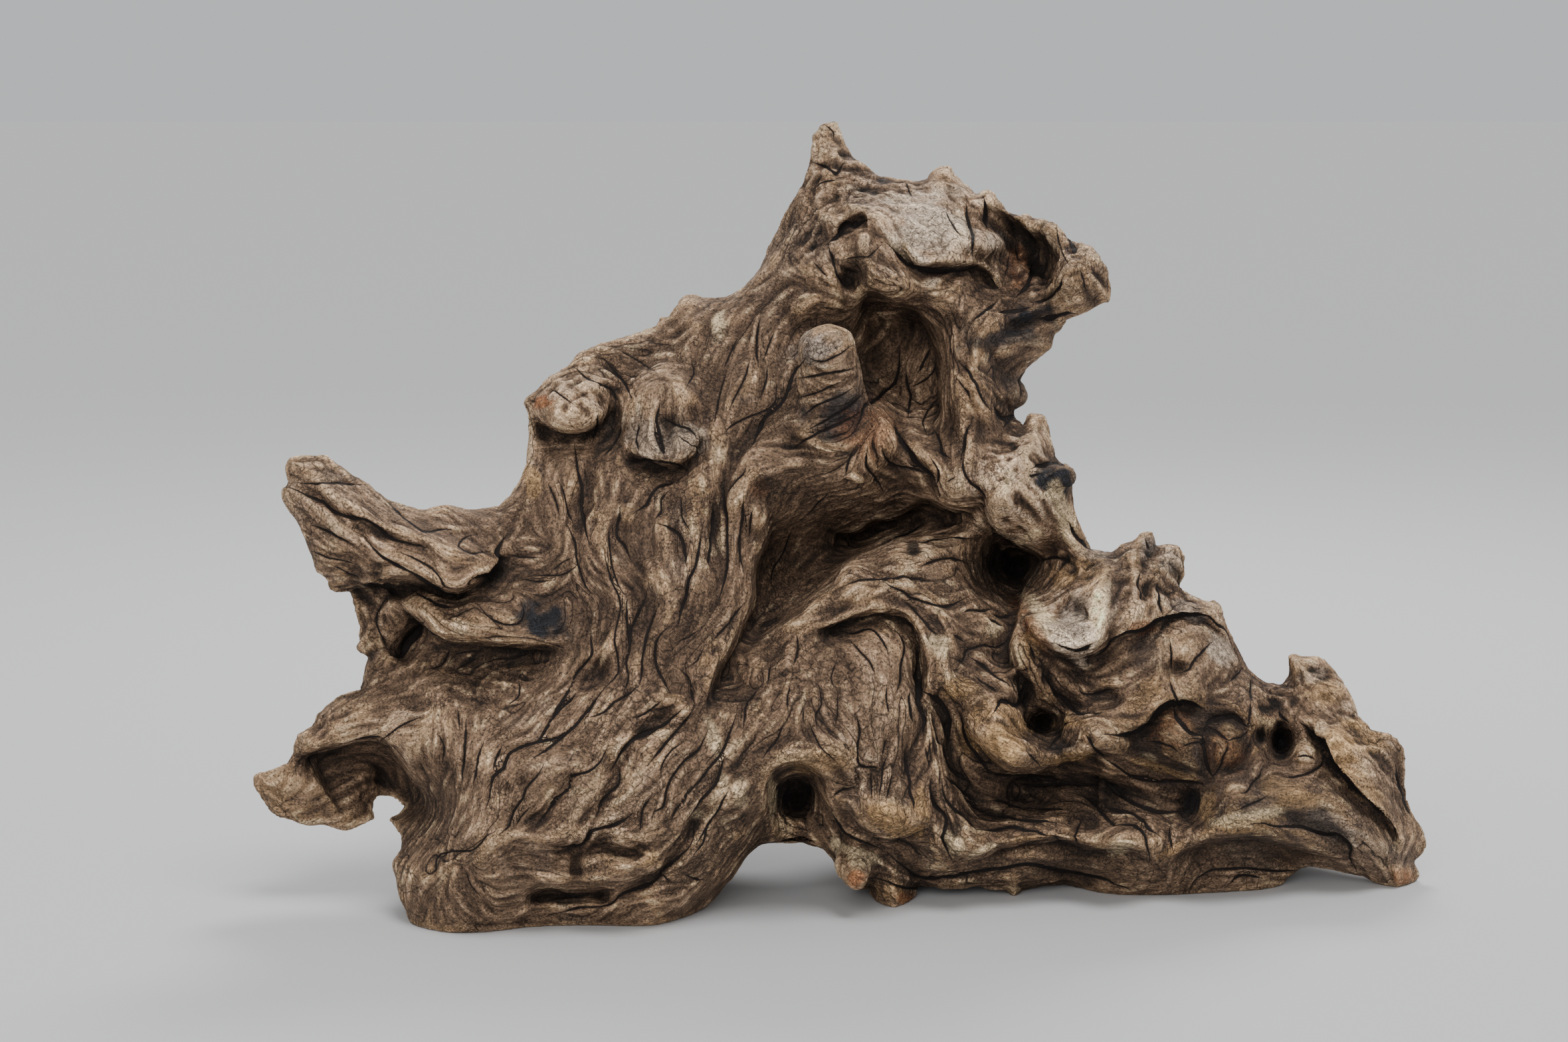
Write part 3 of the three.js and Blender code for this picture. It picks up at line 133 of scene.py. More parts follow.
# Depth of the front, and then of the back, where the surface is smooth: across, up, depth
FRONT_POINTS = [
    [-208, 176, -42], [-206, 165, -46], [-190, 172, -44], [-190, 150, -50], [-175, 160, -48],
    [-165, 145, -48], [-150, 152, -42], [-150, 136, -46], [-135, 150, -34], [-130, 136, -38],
    [-178, 120, -24], [-165, 112, -22], [-152, 120, -42], [-135, 117, -42], [-140, 102, -28],
    [-120, 100, -32], [-215, 57, -14], [-200, 75, -24], [-195, 50, -8], [-180, 84, -28],
    [-180, 58, -4], [-172, 60, 2], [-165, 88, -28], [-163, 68, -28], [-159, 46, -8],
    [-153, 90, -34], [-140, 70, -46], [-142, 40, -50], [-152, 15, -40], [-162, 32, -30],
    [-120, 140, -32], [-112, 120, -34], [-120, 70, -50], [-120, 40, -54], [-132, 12, -44],
    [-145, 1, -36], [-118, 5, -30], [-92, 6, -28], [-72, 5, -28], [-58, 6, -22],
    [-100, 170, -24], [-100, 140, -34], [-96, 112, -38], [-95, 80, -52], [-96, 50, -58],
    [-98, 26, -48], [-75, 165, -30], [-76, 140, -36], [-70, 110, -44], [-70, 80, -52],
    [-70, 50, -56], [-70, 22, -44], [-50, 160, -32], [-50, 130, -40], [-52, 105, -42],
    [-50, 80, -48], [-48, 50, -48], [-48, 22, -34], [-34, 52, -40], [-112, 190, -14],
    [-102, 206, -16], [-95, 183, -18], [-80, 215, -4], [-80, 200, -12], [-66, 226, -2],
    [-55, 215, -10], [-48, 230, -2], [-58, 238, 4], [-40, 228, -2], [-42, 200, -18],
    [-60, 182, -24], [-28, 215, -10], [-26, 190, -22], [-30, 248, 4], [-18, 238, -4],
    [-18, 262, 2], [-5, 300, 8], [-1, 285, 2], [-13, 275, 0], [5, 272, -6], [16, 279, 0],
    [30, 270, -6], [38, 285, 6], [30, 258, -10], [20, 244, -16], [-4, 250, -10], [46, 265, -2],
    [48, 248, -4], [62, 262, 14], [62, 248, 16], [75, 256, 12], [80, 265, -2], [92, 250, -12],
    [98, 240, -6], [85, 240, -10], [42, 238, -10], [60, 230, -8], [76, 224, -2], [60, 214, -6],
    [70, 203, 2], [12, 226, 26], [25, 228, 28], [30, 206, 24], [15, 205, 20], [34, 190, 2],
    [48, 222, -8], [46, 205, -12], [52, 185, -14], [62, 180, -16], [74, 186, -8], [60, 160, -18],
    [75, 162, -16], [82, 178, -8], [86, 156, -8], [91, 147, 0], [30, 180, -10], [42, 168, -12],
    [15, 186, -8], [-10, 193, -24], [2, 178, -18], [-20, 176, -26], [-32, 166, -30], [5, 168, -12],
    [-12, 160, -6], [-20, 150, -2], [-23, 132, -6], [-12, 140, 10], [6, 148, 28], [22, 152, 22],
    [40, 155, 10], [60, 138, 36], [68, 134, 36], [-30, 112, -26], [-15, 119, -22], [5, 136, -14],
    [25, 145, -8], [45, 149, -2], [30, 137, -12], [46, 130, -6], [58, 120, -10], [45, 118, -14],
    [0, 124, -18], [20, 125, -18], [-20, 100, -34], [0, 104, -28], [20, 104, -26], [-36, 84, -44],
    [-15, 80, -46], [5, 84, -40], [22, 84, -34], [-8, 66, -40], [15, 64, -34], [6, 50, -30],
    [18, 46, -34], [30, 52, -26], [-2, 32, -18], [5, 22, -16], [18, 30, -12], [20, 14, -6],
    [30, 22, -6], [38, 100, -20], [38, 80, -20], [42, 60, -16], [40, 40, -16], [50, 106, -18],
    [62, 101, -16], [55, 88, -24], [60, 75, -28], [70, 68, -28], [52, 50, -4], [70, 52, 8],
    [100, 52, 12], [128, 50, 10], [50, 34, -16], [75, 34, -12], [105, 34, -8], [120, 34, -4],
    [66, 16, 2], [85, 22, 4], [105, 20, 10], [75, 110, -18], [88, 118, -20], [88, 98, -6],
    [80, 90, -10], [76, 79, 8], [95, 88, -8], [95, 77, -20], [95, 68, -18], [112, 136, -6],
    [116, 146, 2], [105, 115, -10], [125, 137, 2], [115, 100, -6], [130, 112, -4], [140, 118, 6],
    [135, 95, -6], [148, 105, 10], [118, 84, -12], [120, 72, -4], [128, 66, -4], [141, 75, -2],
    [141, 64, -2], [155, 91, 4], [155, 74, 0], [172, 98, 16], [183, 97, 20], [180, 84, 12],
    [165, 72, 14], [173, 66, 8], [186, 72, 6], [200, 69, 14], [208, 62, 22], [155, 50, -2],
    [166, 44, -4], [145, 40, -8], [125, 24, 6], [150, 27, 12], [172, 30, 12], [180, 50, 2],
    [195, 45, 6], [205, 34, 12], [216, 34, 28], [212, 18, 30], [190, 27, 16], [150, 16, 22],
]
BACK_POINTS = [
    [-208, 172, -16], [-190, 160, -10], [-165, 148, -4], [-140, 145, 12], [-216, 56, 12],
    [-195, 66, 20], [-172, 82, 26], [-176, 115, 8], [-150, 110, 26], [-150, 60, 36], [-150, 15, 16],
    [-130, 95, 44], [-122, 150, 20], [-120, 50, 58], [-112, 18, 38], [-100, 190, 22],
    [-105, 205, 14], [-90, 150, 44], [-90, 100, 66], [-90, 60, 72], [-80, 215, 24], [-80, 20, 52],
    [-60, 165, 58], [-60, 120, 80], [-60, 70, 84], [-56, 234, 22], [-50, 30, 66], [-30, 200, 52],
    [-30, 150, 78], [-30, 100, 74], [-22, 250, 36], [-20, 60, 70], [-5, 300, 20], [0, 160, 88],
    [0, 110, 92], [4, 278, 36], [10, 220, 62], [10, 60, 80], [15, 30, 70], [38, 272, 40],
    [40, 240, 56], [40, 190, 66], [40, 130, 88], [45, 70, 98], [62, 240, 50], [68, 205, 36],
    [70, 165, 58], [75, 110, 92], [75, 50, 90], [94, 246, 22], [90, 150, 44], [110, 115, 74],
    [110, 60, 96], [124, 138, 36], [140, 90, 78], [140, 50, 94], [142, 116, 40], [160, 80, 74],
    [160, 35, 90], [176, 98, 44], [184, 60, 72], [202, 66, 48], [212, 36, 52], [192, 30, 66],
]

# Steps of the front, where one sheet of wood laps over the next: lift and drop of the two sides, their
# reaches, and the line, with the upper sheet on its left
FRONT_STEPS = [
    [7, 18, 12, 14, [[-50, 84], [-46, 98], [-39, 112], [-33, 124], [-32, 136], [-28, 147], [-26, 160]]],
    [3, 14, 8, 13, [[48, 154], [30, 150], [15, 147], [2, 139], [-3, 131], [-11, 126], [-16, 120],
      [-27, 113], [-38, 103]]],
    [3, 9, 7, 9, [[-14, 108], [-5, 115], [8, 120], [18, 121], [26, 118], [30, 110], [31, 98],
      [30, 84]]],
    [4, 10, 9, 10, [[4, 224], [7, 236], [12, 241], [20, 238], [30, 233], [36, 222], [38, 210],
      [38, 196], [33, 187]]],
    [5, 7, 12, 8, [[20, 264], [25, 256], [30, 251.5], [41, 252], [52, 251], [58, 246], [62, 239]]],
    [6, 9, 6, 9, [[51, 275], [60, 272], [68, 266], [77, 261], [81, 253], [79, 244], [72, 240]]],
    [8, 6, 12, 6, [[-82, 184], [-74, 179], [-64, 176], [-56, 180], [-52, 190]]],
    [8, 8, 10, 8, [[-117, 196], [-108, 190], [-98, 189], [-90, 193], [-86, 201]]],
    [5, 13, 12, 10, [[-192, 130], [-178, 131], [-165, 134], [-155, 131], [-147, 128], [-139, 131],
      [-128, 138], [-126, 146]]],
    [6, 11, 10, 12, [[-167, 126], [-158, 118], [-152, 112], [-140, 110], [-125, 108.5], [-104, 108]]],
    [4, 16, 8, 18, [[-209, 61], [-200, 68], [-188, 71], [-174, 73], [-167, 68], [-162, 59],
      [-156, 52], [-154, 42]]],
    [5, 17, 12, 13, [[44, 86], [49, 76], [55, 69], [63, 63], [72, 61.5], [84, 65], [97, 69],
      [108, 66]]],
    [6, 7, 10, 7, [[40, 32], [46, 29], [53, 29], [61, 33], [73, 35], [85, 35], [96, 32], [108, 33],
      [118, 26]]],
    [6, 7, 12, 8, [[67, 122], [73, 113], [80, 107], [88, 104.5], [96, 107], [103, 113]]],
    [4, 13, 8, 11, [[78, 142], [71, 135], [68, 126], [66, 117], [64, 107], [67, 98]]],
    [4, 14, 8, 12, [[53, 168], [56, 158], [60, 151], [67, 146], [78, 140]]],
    [4, 12, 8, 11, [[-8, 152], [5, 151], [12, 155], [22, 158], [32, 163], [42, 160], [54, 161]]],
    [3, 6, 6, 6, [[102, 75], [113, 76], [118, 82], [124, 86.5], [130, 87], [138, 84]]],
    [5, 8, 8, 7, [[174, 81], [180, 74], [184, 65], [190, 58], [197, 50], [203, 45], [209, 37],
      [208, 28]]],
    [5, 9, 8, 10, [[122, 27], [133, 33], [145, 36], [158, 36], [170, 33], [180, 30], [192, 26]]],
    [3, 5, 7, 6, [[101, 110], [112, 113], [119, 117], [127, 119.5], [137, 119], [143, 113],
      [148, 106]]],
    [5, 5, 7, 7, [[-26, 38], [-27.5, 50], [-26, 59], [-21, 63.5], [-15, 64], [-8, 60], [0, 57]]],
    [4, 6, 8, 8, [[-14, 59], [-9, 55], [-4, 47], [0, 39], [6, 34], [15, 33]]],
    [5, 5, 9, 7, [[1, 50], [8, 41], [15, 37], [23, 37], [29, 40], [35, 43]]],
    [4, 6, 9, 7, [[-20, 190], [-12, 184], [-3, 180], [6, 184], [12, 190]]],
]

# Ridges of the front, or furrows where the height is below nought: height, half width, line
FRONT_RIDGES = [
    [4, 4, [[-118, 178], [-115, 188], [-117, 199]]],
    [4, 4, [[-109, 208], [-98, 216], [-86, 221], [-70, 225]]],
    [5, 5, [[-84, 184], [-80, 196], [-74, 206], [-66, 211], [-58, 203], [-53, 194]]],
    [5, 4, [[-25, 260], [-30, 250], [-38, 238], [-45, 226]]],
    [4, 5, [[2, 183], [-12, 178], [-24, 176], [-35, 172], [-39, 164], [-38, 150]]],
    [3, 5, [[-30, 228], [-34, 212], [-44, 195], [-52, 178], [-55, 150], [-56, 120]]],
    [-5, 4, [[-92, 212], [-86, 202], [-84, 192], [-92, 178], [-98, 158], [-96, 146]]],
    [-4, 3, [[-22, 205], [-26, 196], [-36, 186], [-42, 172], [-47, 152], [-46, 132], [-50, 116]]],
    [3, 4, [[-64, 164], [-67, 150], [-64, 134], [-66, 118], [-75, 104], [-80, 90]]],
    [3, 4, [[-88, 166], [-90, 150], [-84, 132], [-84, 116], [-92, 98]]],
    [-4, 3, [[-60, 88], [-74, 76], [-84, 62], [-90, 48], [-104, 36]]],
    [-3, 3, [[-98, 62], [-104, 54], [-112, 44], [-120, 36]]],
    [4, 4, [[-105, 66], [-96, 68], [-84, 70], [-72, 76]]],
    [4, 5, [[-140, 32], [-126, 36], [-110, 36], [-97, 40], [-88, 44]]],
    [4, 4, [[-88, 38], [-80, 35], [-72, 38], [-66, 44]]],
    [-6, 3, [[-110, 32], [-100, 31], [-90, 33], [-80, 31], [-70, 32]]],
    [5, 4, [[-122, 20], [-112, 20], [-98, 18], [-88, 22], [-76, 27], [-62, 30]]],
    [4, 4, [[-80, 8], [-68, 10], [-56, 14], [-44, 26], [-36, 40], [-29, 54]]],
    [-12, 3, [[-119, 11], [-112, 15], [-100, 15.5], [-90, 15], [-84, 13]]],
    [-5, 2.5, [[-88, 13], [-76, 18], [-66, 26], [-58, 36], [-50, 50]]],
    [-8, 3, [[-172, 127], [-156, 130], [-146, 127], [-138, 131]]],
    [-10, 4, [[-156, 119], [-163, 109], [-169, 103]]],
    [4, 4, [[-206, 171], [-192, 166], [-176, 156], [-160, 149], [-142, 143], [-130, 141]]],
    [-3, 2.5, [[-208, 169], [-198, 165], [-184, 156], [-170, 149], [-155, 144], [-150, 137]]],
    [4, 4, [[-203, 148], [-192, 139], [-183, 133]]],
    [4, 5, [[-172, 95], [-182, 84], [-194, 76], [-204, 68]]],
    [5, 4, [[-28, 112], [-14, 120], [-2, 133], [10, 142], [30, 149]]],
    [4, 4, [[-6, 126], [10, 129], [25, 130], [38, 122], [42, 108], [38, 92]]],
    [-5, 3, [[30, 112], [30, 96], [30, 80], [26, 66], [26, 54]]],
    [4, 4, [[-26, 66], [-16, 68], [-4, 68], [3, 64], [5, 56]]],
    [4, 4, [[36, 84], [37, 66], [40, 50], [46, 38], [50, 33]]],
    [-5, 3, [[31, 92], [38, 82], [41, 66], [48, 54], [56, 46], [68, 45]]],
    [4, 4, [[36, 112], [40, 98], [46, 92], [54, 92]]],
    [4, 3, [[48, 106], [58, 98], [66, 88]]],
    [-7, 3, [[64, 98], [70, 94], [70, 88], [66, 86]]],
    [4, 4, [[44, 84], [52, 90], [60, 84], [66, 78]]],
    [-4, 3, [[56, 58], [75, 58], [95, 57], [112, 52], [122, 46]]],
    [4, 3, [[58, 45], [75, 43], [92, 47], [104, 40]]],
    [-4, 3, [[19, 33], [25, 25], [34, 20.5], [46, 21], [58, 24], [70, 25], [86, 22], [104, 19]]],
    [4, 4, [[112, 44], [117, 36], [114, 28]]],
    [5, 4, [[68, 122], [75, 114], [82, 109], [90, 108], [96, 112], [99, 121], [101, 131]]],
    [-7, 5, [[80, 124], [87, 119], [92, 124]]],
    [5, 4, [[101, 142], [99, 134], [97, 124]]],
    [4, 4, [[106, 146], [112, 138], [112, 126], [110, 117]]],
    [5, 4, [[119, 143], [118, 132], [120, 121]]],
    [-5, 3, [[118, 146], [115, 135], [114, 124]]],
    [-5, 3, [[75, 102], [80, 94], [88, 86], [98, 84]]],
    [4, 4, [[80, 80], [90, 79], [100, 76], [110, 70]]],
    [4, 4, [[142, 50], [152, 44], [166, 42], [182, 38]]],
    [-5, 3, [[155, 42], [165, 43], [176, 41], [186, 37], [194, 30]]],
    [4, 5, [[140, 56], [156, 52], [172, 52], [186, 48], [198, 40]]],
    [4, 4, [[183, 78], [192, 70], [202, 58], [210, 48]]],
    [-4, 3, [[208, 60], [211, 52], [214, 42]]],
    [-4, 2.5, [[136, 80], [142, 82], [149, 80], [153, 74], [151, 64], [141, 60]]],
    [4, 4, [[44, 232], [42, 218], [44, 200], [48, 184], [50, 170]]],
    [4, 4, [[62, 236], [54, 224], [50, 210], [56, 196], [60, 186]]],
    [4, 4, [[82, 228], [70, 224], [58, 216]]],
    [-5, 3, [[83, 233], [72, 231], [60, 226]]],
    [4, 4, [[70, 194], [72, 184], [70, 172], [72, 160], [80, 148]]],
    [5, 4, [[22, 194], [26, 184], [34, 176], [40, 166], [44, 158]]],
    [-4, 3, [[20, 196], [24, 184], [32, 174], [37, 164]]],
    [4, 4, [[2, 172], [12, 168], [18, 160]]],
    [4, 4, [[-18, 254], [-8, 248], [2, 244]]],
    [5, 4, [[-20, 232], [-10, 238], [2, 236]]],
    [5, 4, [[-8, 274], [0, 268], [6, 272], [14, 270], [18, 262]]],
    [-6, 3, [[0, 263], [5, 268], [11, 269]]],
    [5, 3, [[8, 266], [10, 254], [16, 244]]],
    [4, 5, [[48, 268], [44, 258], [42, 248]]],
    [5, 4, [[84, 262], [86, 250], [84, 240]]],
]

# Knobs of the front, or pits where the height is below nought: across, up, half width, half height,
# turn in degrees, height
FRONT_KNOBS = [
    [-104, 200, 15, 9, 20, 9], [-114, 190, 5, 6, 0, -8], [-92, 205, 7, 5, 40, 4],
    [-66, 197, 12, 13, 0, 9], [-66, 190, 4, 6, 0, -4], [-57, 233, 7, 6, 0, 4],
    [-93, 98, 7, 5, 40, -6], [-120, 57, 2, 2, 0, -2], [-125, 54, 2, 2, 0, -2],
    [-99.5, 25, 2.6, 4.8, 0, -4], [-97, 68, 8, 4, 0, -4], [-42, 52, 7, 7, 0, 5], [-108, 117, 10, 7,
     -30, 3],
    [-62, 87, 7, 4, -20, 4], [-80, 158, 4, 4, 0, 3], [-70, 134, 4, 8, 20, 4],
    [-31, 156, 4, 6, 0, 5], [-35, 104, 6, 8, 30, 4], [-16.5, 53, 8.5, 8.5, 0, -32],
    [-18, 42, 15, 8, 0, -14], [18, 46, 13, 5, -30, 5], [31, 46, 4, 7, 0, 5], [37, 36, 3, 5, 0, 4],
    [-3, 70, 9, 6, 0, 4], [5, 24, 6, 7, 0, 5], [6, 20, 4, 4, 0, 4], [20, 18, 7, 8, 0, 3],
    [26, 144, 4, 3, 0, -5], [46, 95, 7, 6, 0, 5], [60, 78, 9, 8, 0, 4], [75, 79, 6, 4, 0, -12],
    [70, 104, 6, 10, 10, 4], [46, 33, 4, 5, 0, 4], [58, 34, 4, 4, 0, -3], [108, 34, 7, 4, 0, 4],
    [90, 148, 5, 4, 0, 4], [72, 182, 7, 9, 0, 3], [62, 165, 7, 7, 0, 3], [69, 152, 7, 6, 0, 4],
    [54, 200, 6, 8, 0, 4], [66, 204, 6, 5, 0, 5], [76, 150, 5, 5, 0, 3], [43, 170, 4, 7, -20, 4],
    [84, 172, 4.5, 4.5, 0, 6], [14, 192, 5, 10, 15, 6], [35, 266, 11, 10, 0, 3],
    [39, 284, 5, 4, 0, 3], [92, 247, 8, 9, 0, 5], [55, 260, 6.5, 4.5, 0, 13],
    [20, 244, 8, 5, -15, 7], [66, 262, 9, 8, 0, -5], [77, 250, 5, 8, 0, -5], [70, 233, 5, 3, 20, 5],
    [-4, 288, 5, 8, 0, 4], [-1, 302, 4, 5, 0, -2], [4, 247, 4, 5, 0, -8], [12, 232, 5, 7, 0, -6],
    [108, 118, 7, 6, 0, 5], [112, 146, 5, 5, 0, 3], [125, 141, 4, 5, 0, 4], [133, 124, 7, 4, -15, 3],
    [125, 74, 9, 8, 0, 4], [144, 71, 7, 8, 0, 4], [158, 74, 2.5, 3.5, 0, -9],
    [165.5, 72, 4.5, 6, 0, -16], [175, 67, 5, 4, 0, 5], [126, 100, 4, 3, 0, -5],
    [142, 92, 6, 6, 0, -4], [172, 101, 5, 4, 0, 4], [182, 96, 7, 7, 0, 4], [200, 70, 8, 5, 0, 3],
    [131, 47, 4, 7, 0, -5], [150, 50, 8, 5, 0, 3], [195, 36, 9, 5, -30, 4], [168, 28, 12, 4, 0, -4],
    [211, 22, 5, 5, 0, 4], [100, 88, 6, 4, 0, -5], [88, 68, 8, 3, 0, 3],
]

# Steps, ridges and knobs of the back, laid out as the front's are, from the front's side
BACK_STEPS = [
    [8, 12, 14, 14, [[-20, 205], [-32, 180], [-38, 150], [-46, 120], [-60, 90], [-74, 62], [-84, 34]]],
    [8, 12, 14, 14, [[84, 40], [72, 66], [58, 92], [50, 120], [46, 150], [40, 184], [36, 214]]],
    [6, 9, 12, 10, [[150, 92], [126, 98], [104, 110], [90, 128]]],
    [6, 9, 10, 10, [[186, 60], [166, 66], [142, 62], [118, 70], [98, 84]]],
    [5, 8, 10, 10, [[-176, 82], [-158, 88], [-138, 84], [-122, 96]]],
]
BACK_RIDGES = [
    [9, 8, [[4, 286], [0, 256], [-8, 224], [-14, 190], [-22, 152], [-24, 118]]],
    [8, 7, [[60, 250], [48, 222], [40, 190], [36, 150], [28, 112], [22, 76]]],
    [9, 9, [[-40, 150], [-58, 116], [-80, 84], [-100, 54], [-112, 28]]],
    [9, 9, [[50, 110], [68, 84], [96, 66], [130, 50], [164, 40]]],
    [7, 6, [[88, 142], [108, 118], [134, 96], [166, 82], [194, 64]]],
    [7, 6, [[-92, 186], [-74, 158], [-62, 128], [-58, 98]]],
    [7, 6, [[-196, 160], [-170, 150], [-144, 142], [-118, 128], [-96, 108]]],
    [6, 6, [[-206, 60], [-184, 70], [-160, 74], [-134, 66]]],
    [7, 5, [[10, 130], [6, 100], [12, 72], [10, 44]]],
    [-9, 7, [[14, 214], [10, 180], [12, 148]]],
    [-8, 6, [[-44, 196], [-60, 172], [-84, 144], [-104, 112]]],
    [-8, 6, [[66, 190], [64, 160], [74, 134], [92, 104], [120, 80]]],
    [-8, 5, [[-122, 82], [-116, 58], [-124, 36]]],
    [-7, 5, [[-10, 104], [-14, 80], [-8, 62]]],
]
BACK_KNOBS = [
    [-30, 232, 12, 9, 20, 8], [74, 206, 8, 9, 0, 6], [24, 166, 9, 12, 0, -10], [-70, 204, 10, 8, 0, 7],
    [-112, 132, 10, 8, -20, 7], [-40, 84, 9, 12, 0, -9], [66, 118, 10, 9, 0, 9], [128, 74, 11, 9, 0, 8],
    [176, 66, 9, 8, 0, 7], [104, 92, 8, 7, 0, -9], [-150, 92, 9, 8, 0, 6], [40, 262, 12, 8, 0, -7],
    [-6, 268, 9, 8, 0, 6], [-150, 40, 10, 9, 0, 6], [146, 112, 7, 6, 0, 5], [-168, 146, 8, 5, 0, 5],
]

# Stubs and knobs that stand out of the surface: start, radius, end, radius
STUBS = [
    [[-2, 184, -12], 16, [-5, 219, -34], 10.5],
    [[82, 172, -4], 5, [84, 172, -13], 4.6],
    [[2, 188, -14], 10, [14, 186, -16], 7],
    [[4, 26, -10], 6, [6, 21, -20], 4.5],
    [[34, 206, 42], 19, [43, 212, 68], 9],
    [[-84, 118, 42], 21, [-97, 124, 72], 10],
    [[112, 84, 60], 19, [120, 94, 86], 9],
    [[-14, 250, 12], 13, [-21, 255, 34], 7],
]

# Vaults under the wood, on the floor between its feet: middle and half sizes, in space
VAULTS = [
    [-20, 78, -2, 24, 60, 32],
    [48, 84, -4, 24, 50, 24],
    [112, 88, -4, 26, 52, 22],
    [140, 30, -8, 26, 24, 16],
    [186, 50, -6, 20, 56, 16],
    [-98, 66, -6, 30, 46, 26],
    [-106, -14, -10, 30, 26, 20],
    [-64, 4, -8, 14, 40, 18],
    [44, 10, -8, 20, 22, 16],
]

# Forks of the wood, in the order in which they part from the rest: node, piece, low corner, high corner.
# A long fork's skin is made in two pieces.
FAR = 600.0
FORKS = [
    ("crown", "crown_skin", (-45, -FAR, 228), (FAR, FAR, FAR)),
    ("left_shoulder", "left_shoulder_skin", (-FAR, -FAR, 178), (-45, FAR, FAR)),
    ("left_horn", "left_horn_skin", (-FAR, -FAR, 104), (-127, FAR, FAR)),
    ("lower_left_root", "lower_left_root_skin", (-FAR, -FAR, 30), (-165.5, FAR, 104)),
    ("right_root", "right_root_tip_skin", (140, -FAR, -FAR), (FAR, FAR, 139)),
    ("right_root", "right_root_skin", (70, -FAR, -FAR), (FAR, FAR, 139)),
    ("left_fan", "left_fan_foot_skin", (-FAR, -FAR, -FAR), (-24, FAR, 90)),
    ("left_fan", "left_fan_skin", (-FAR, -FAR, -FAR), (-24, FAR, 228)),
    ("middle_root", "middle_root_foot_skin", (-FAR, -FAR, -FAR), (FAR, FAR, 95)),
    ("middle_root", "middle_root_skin", (-FAR, -FAR, -FAR), (FAR, FAR, FAR)),
]
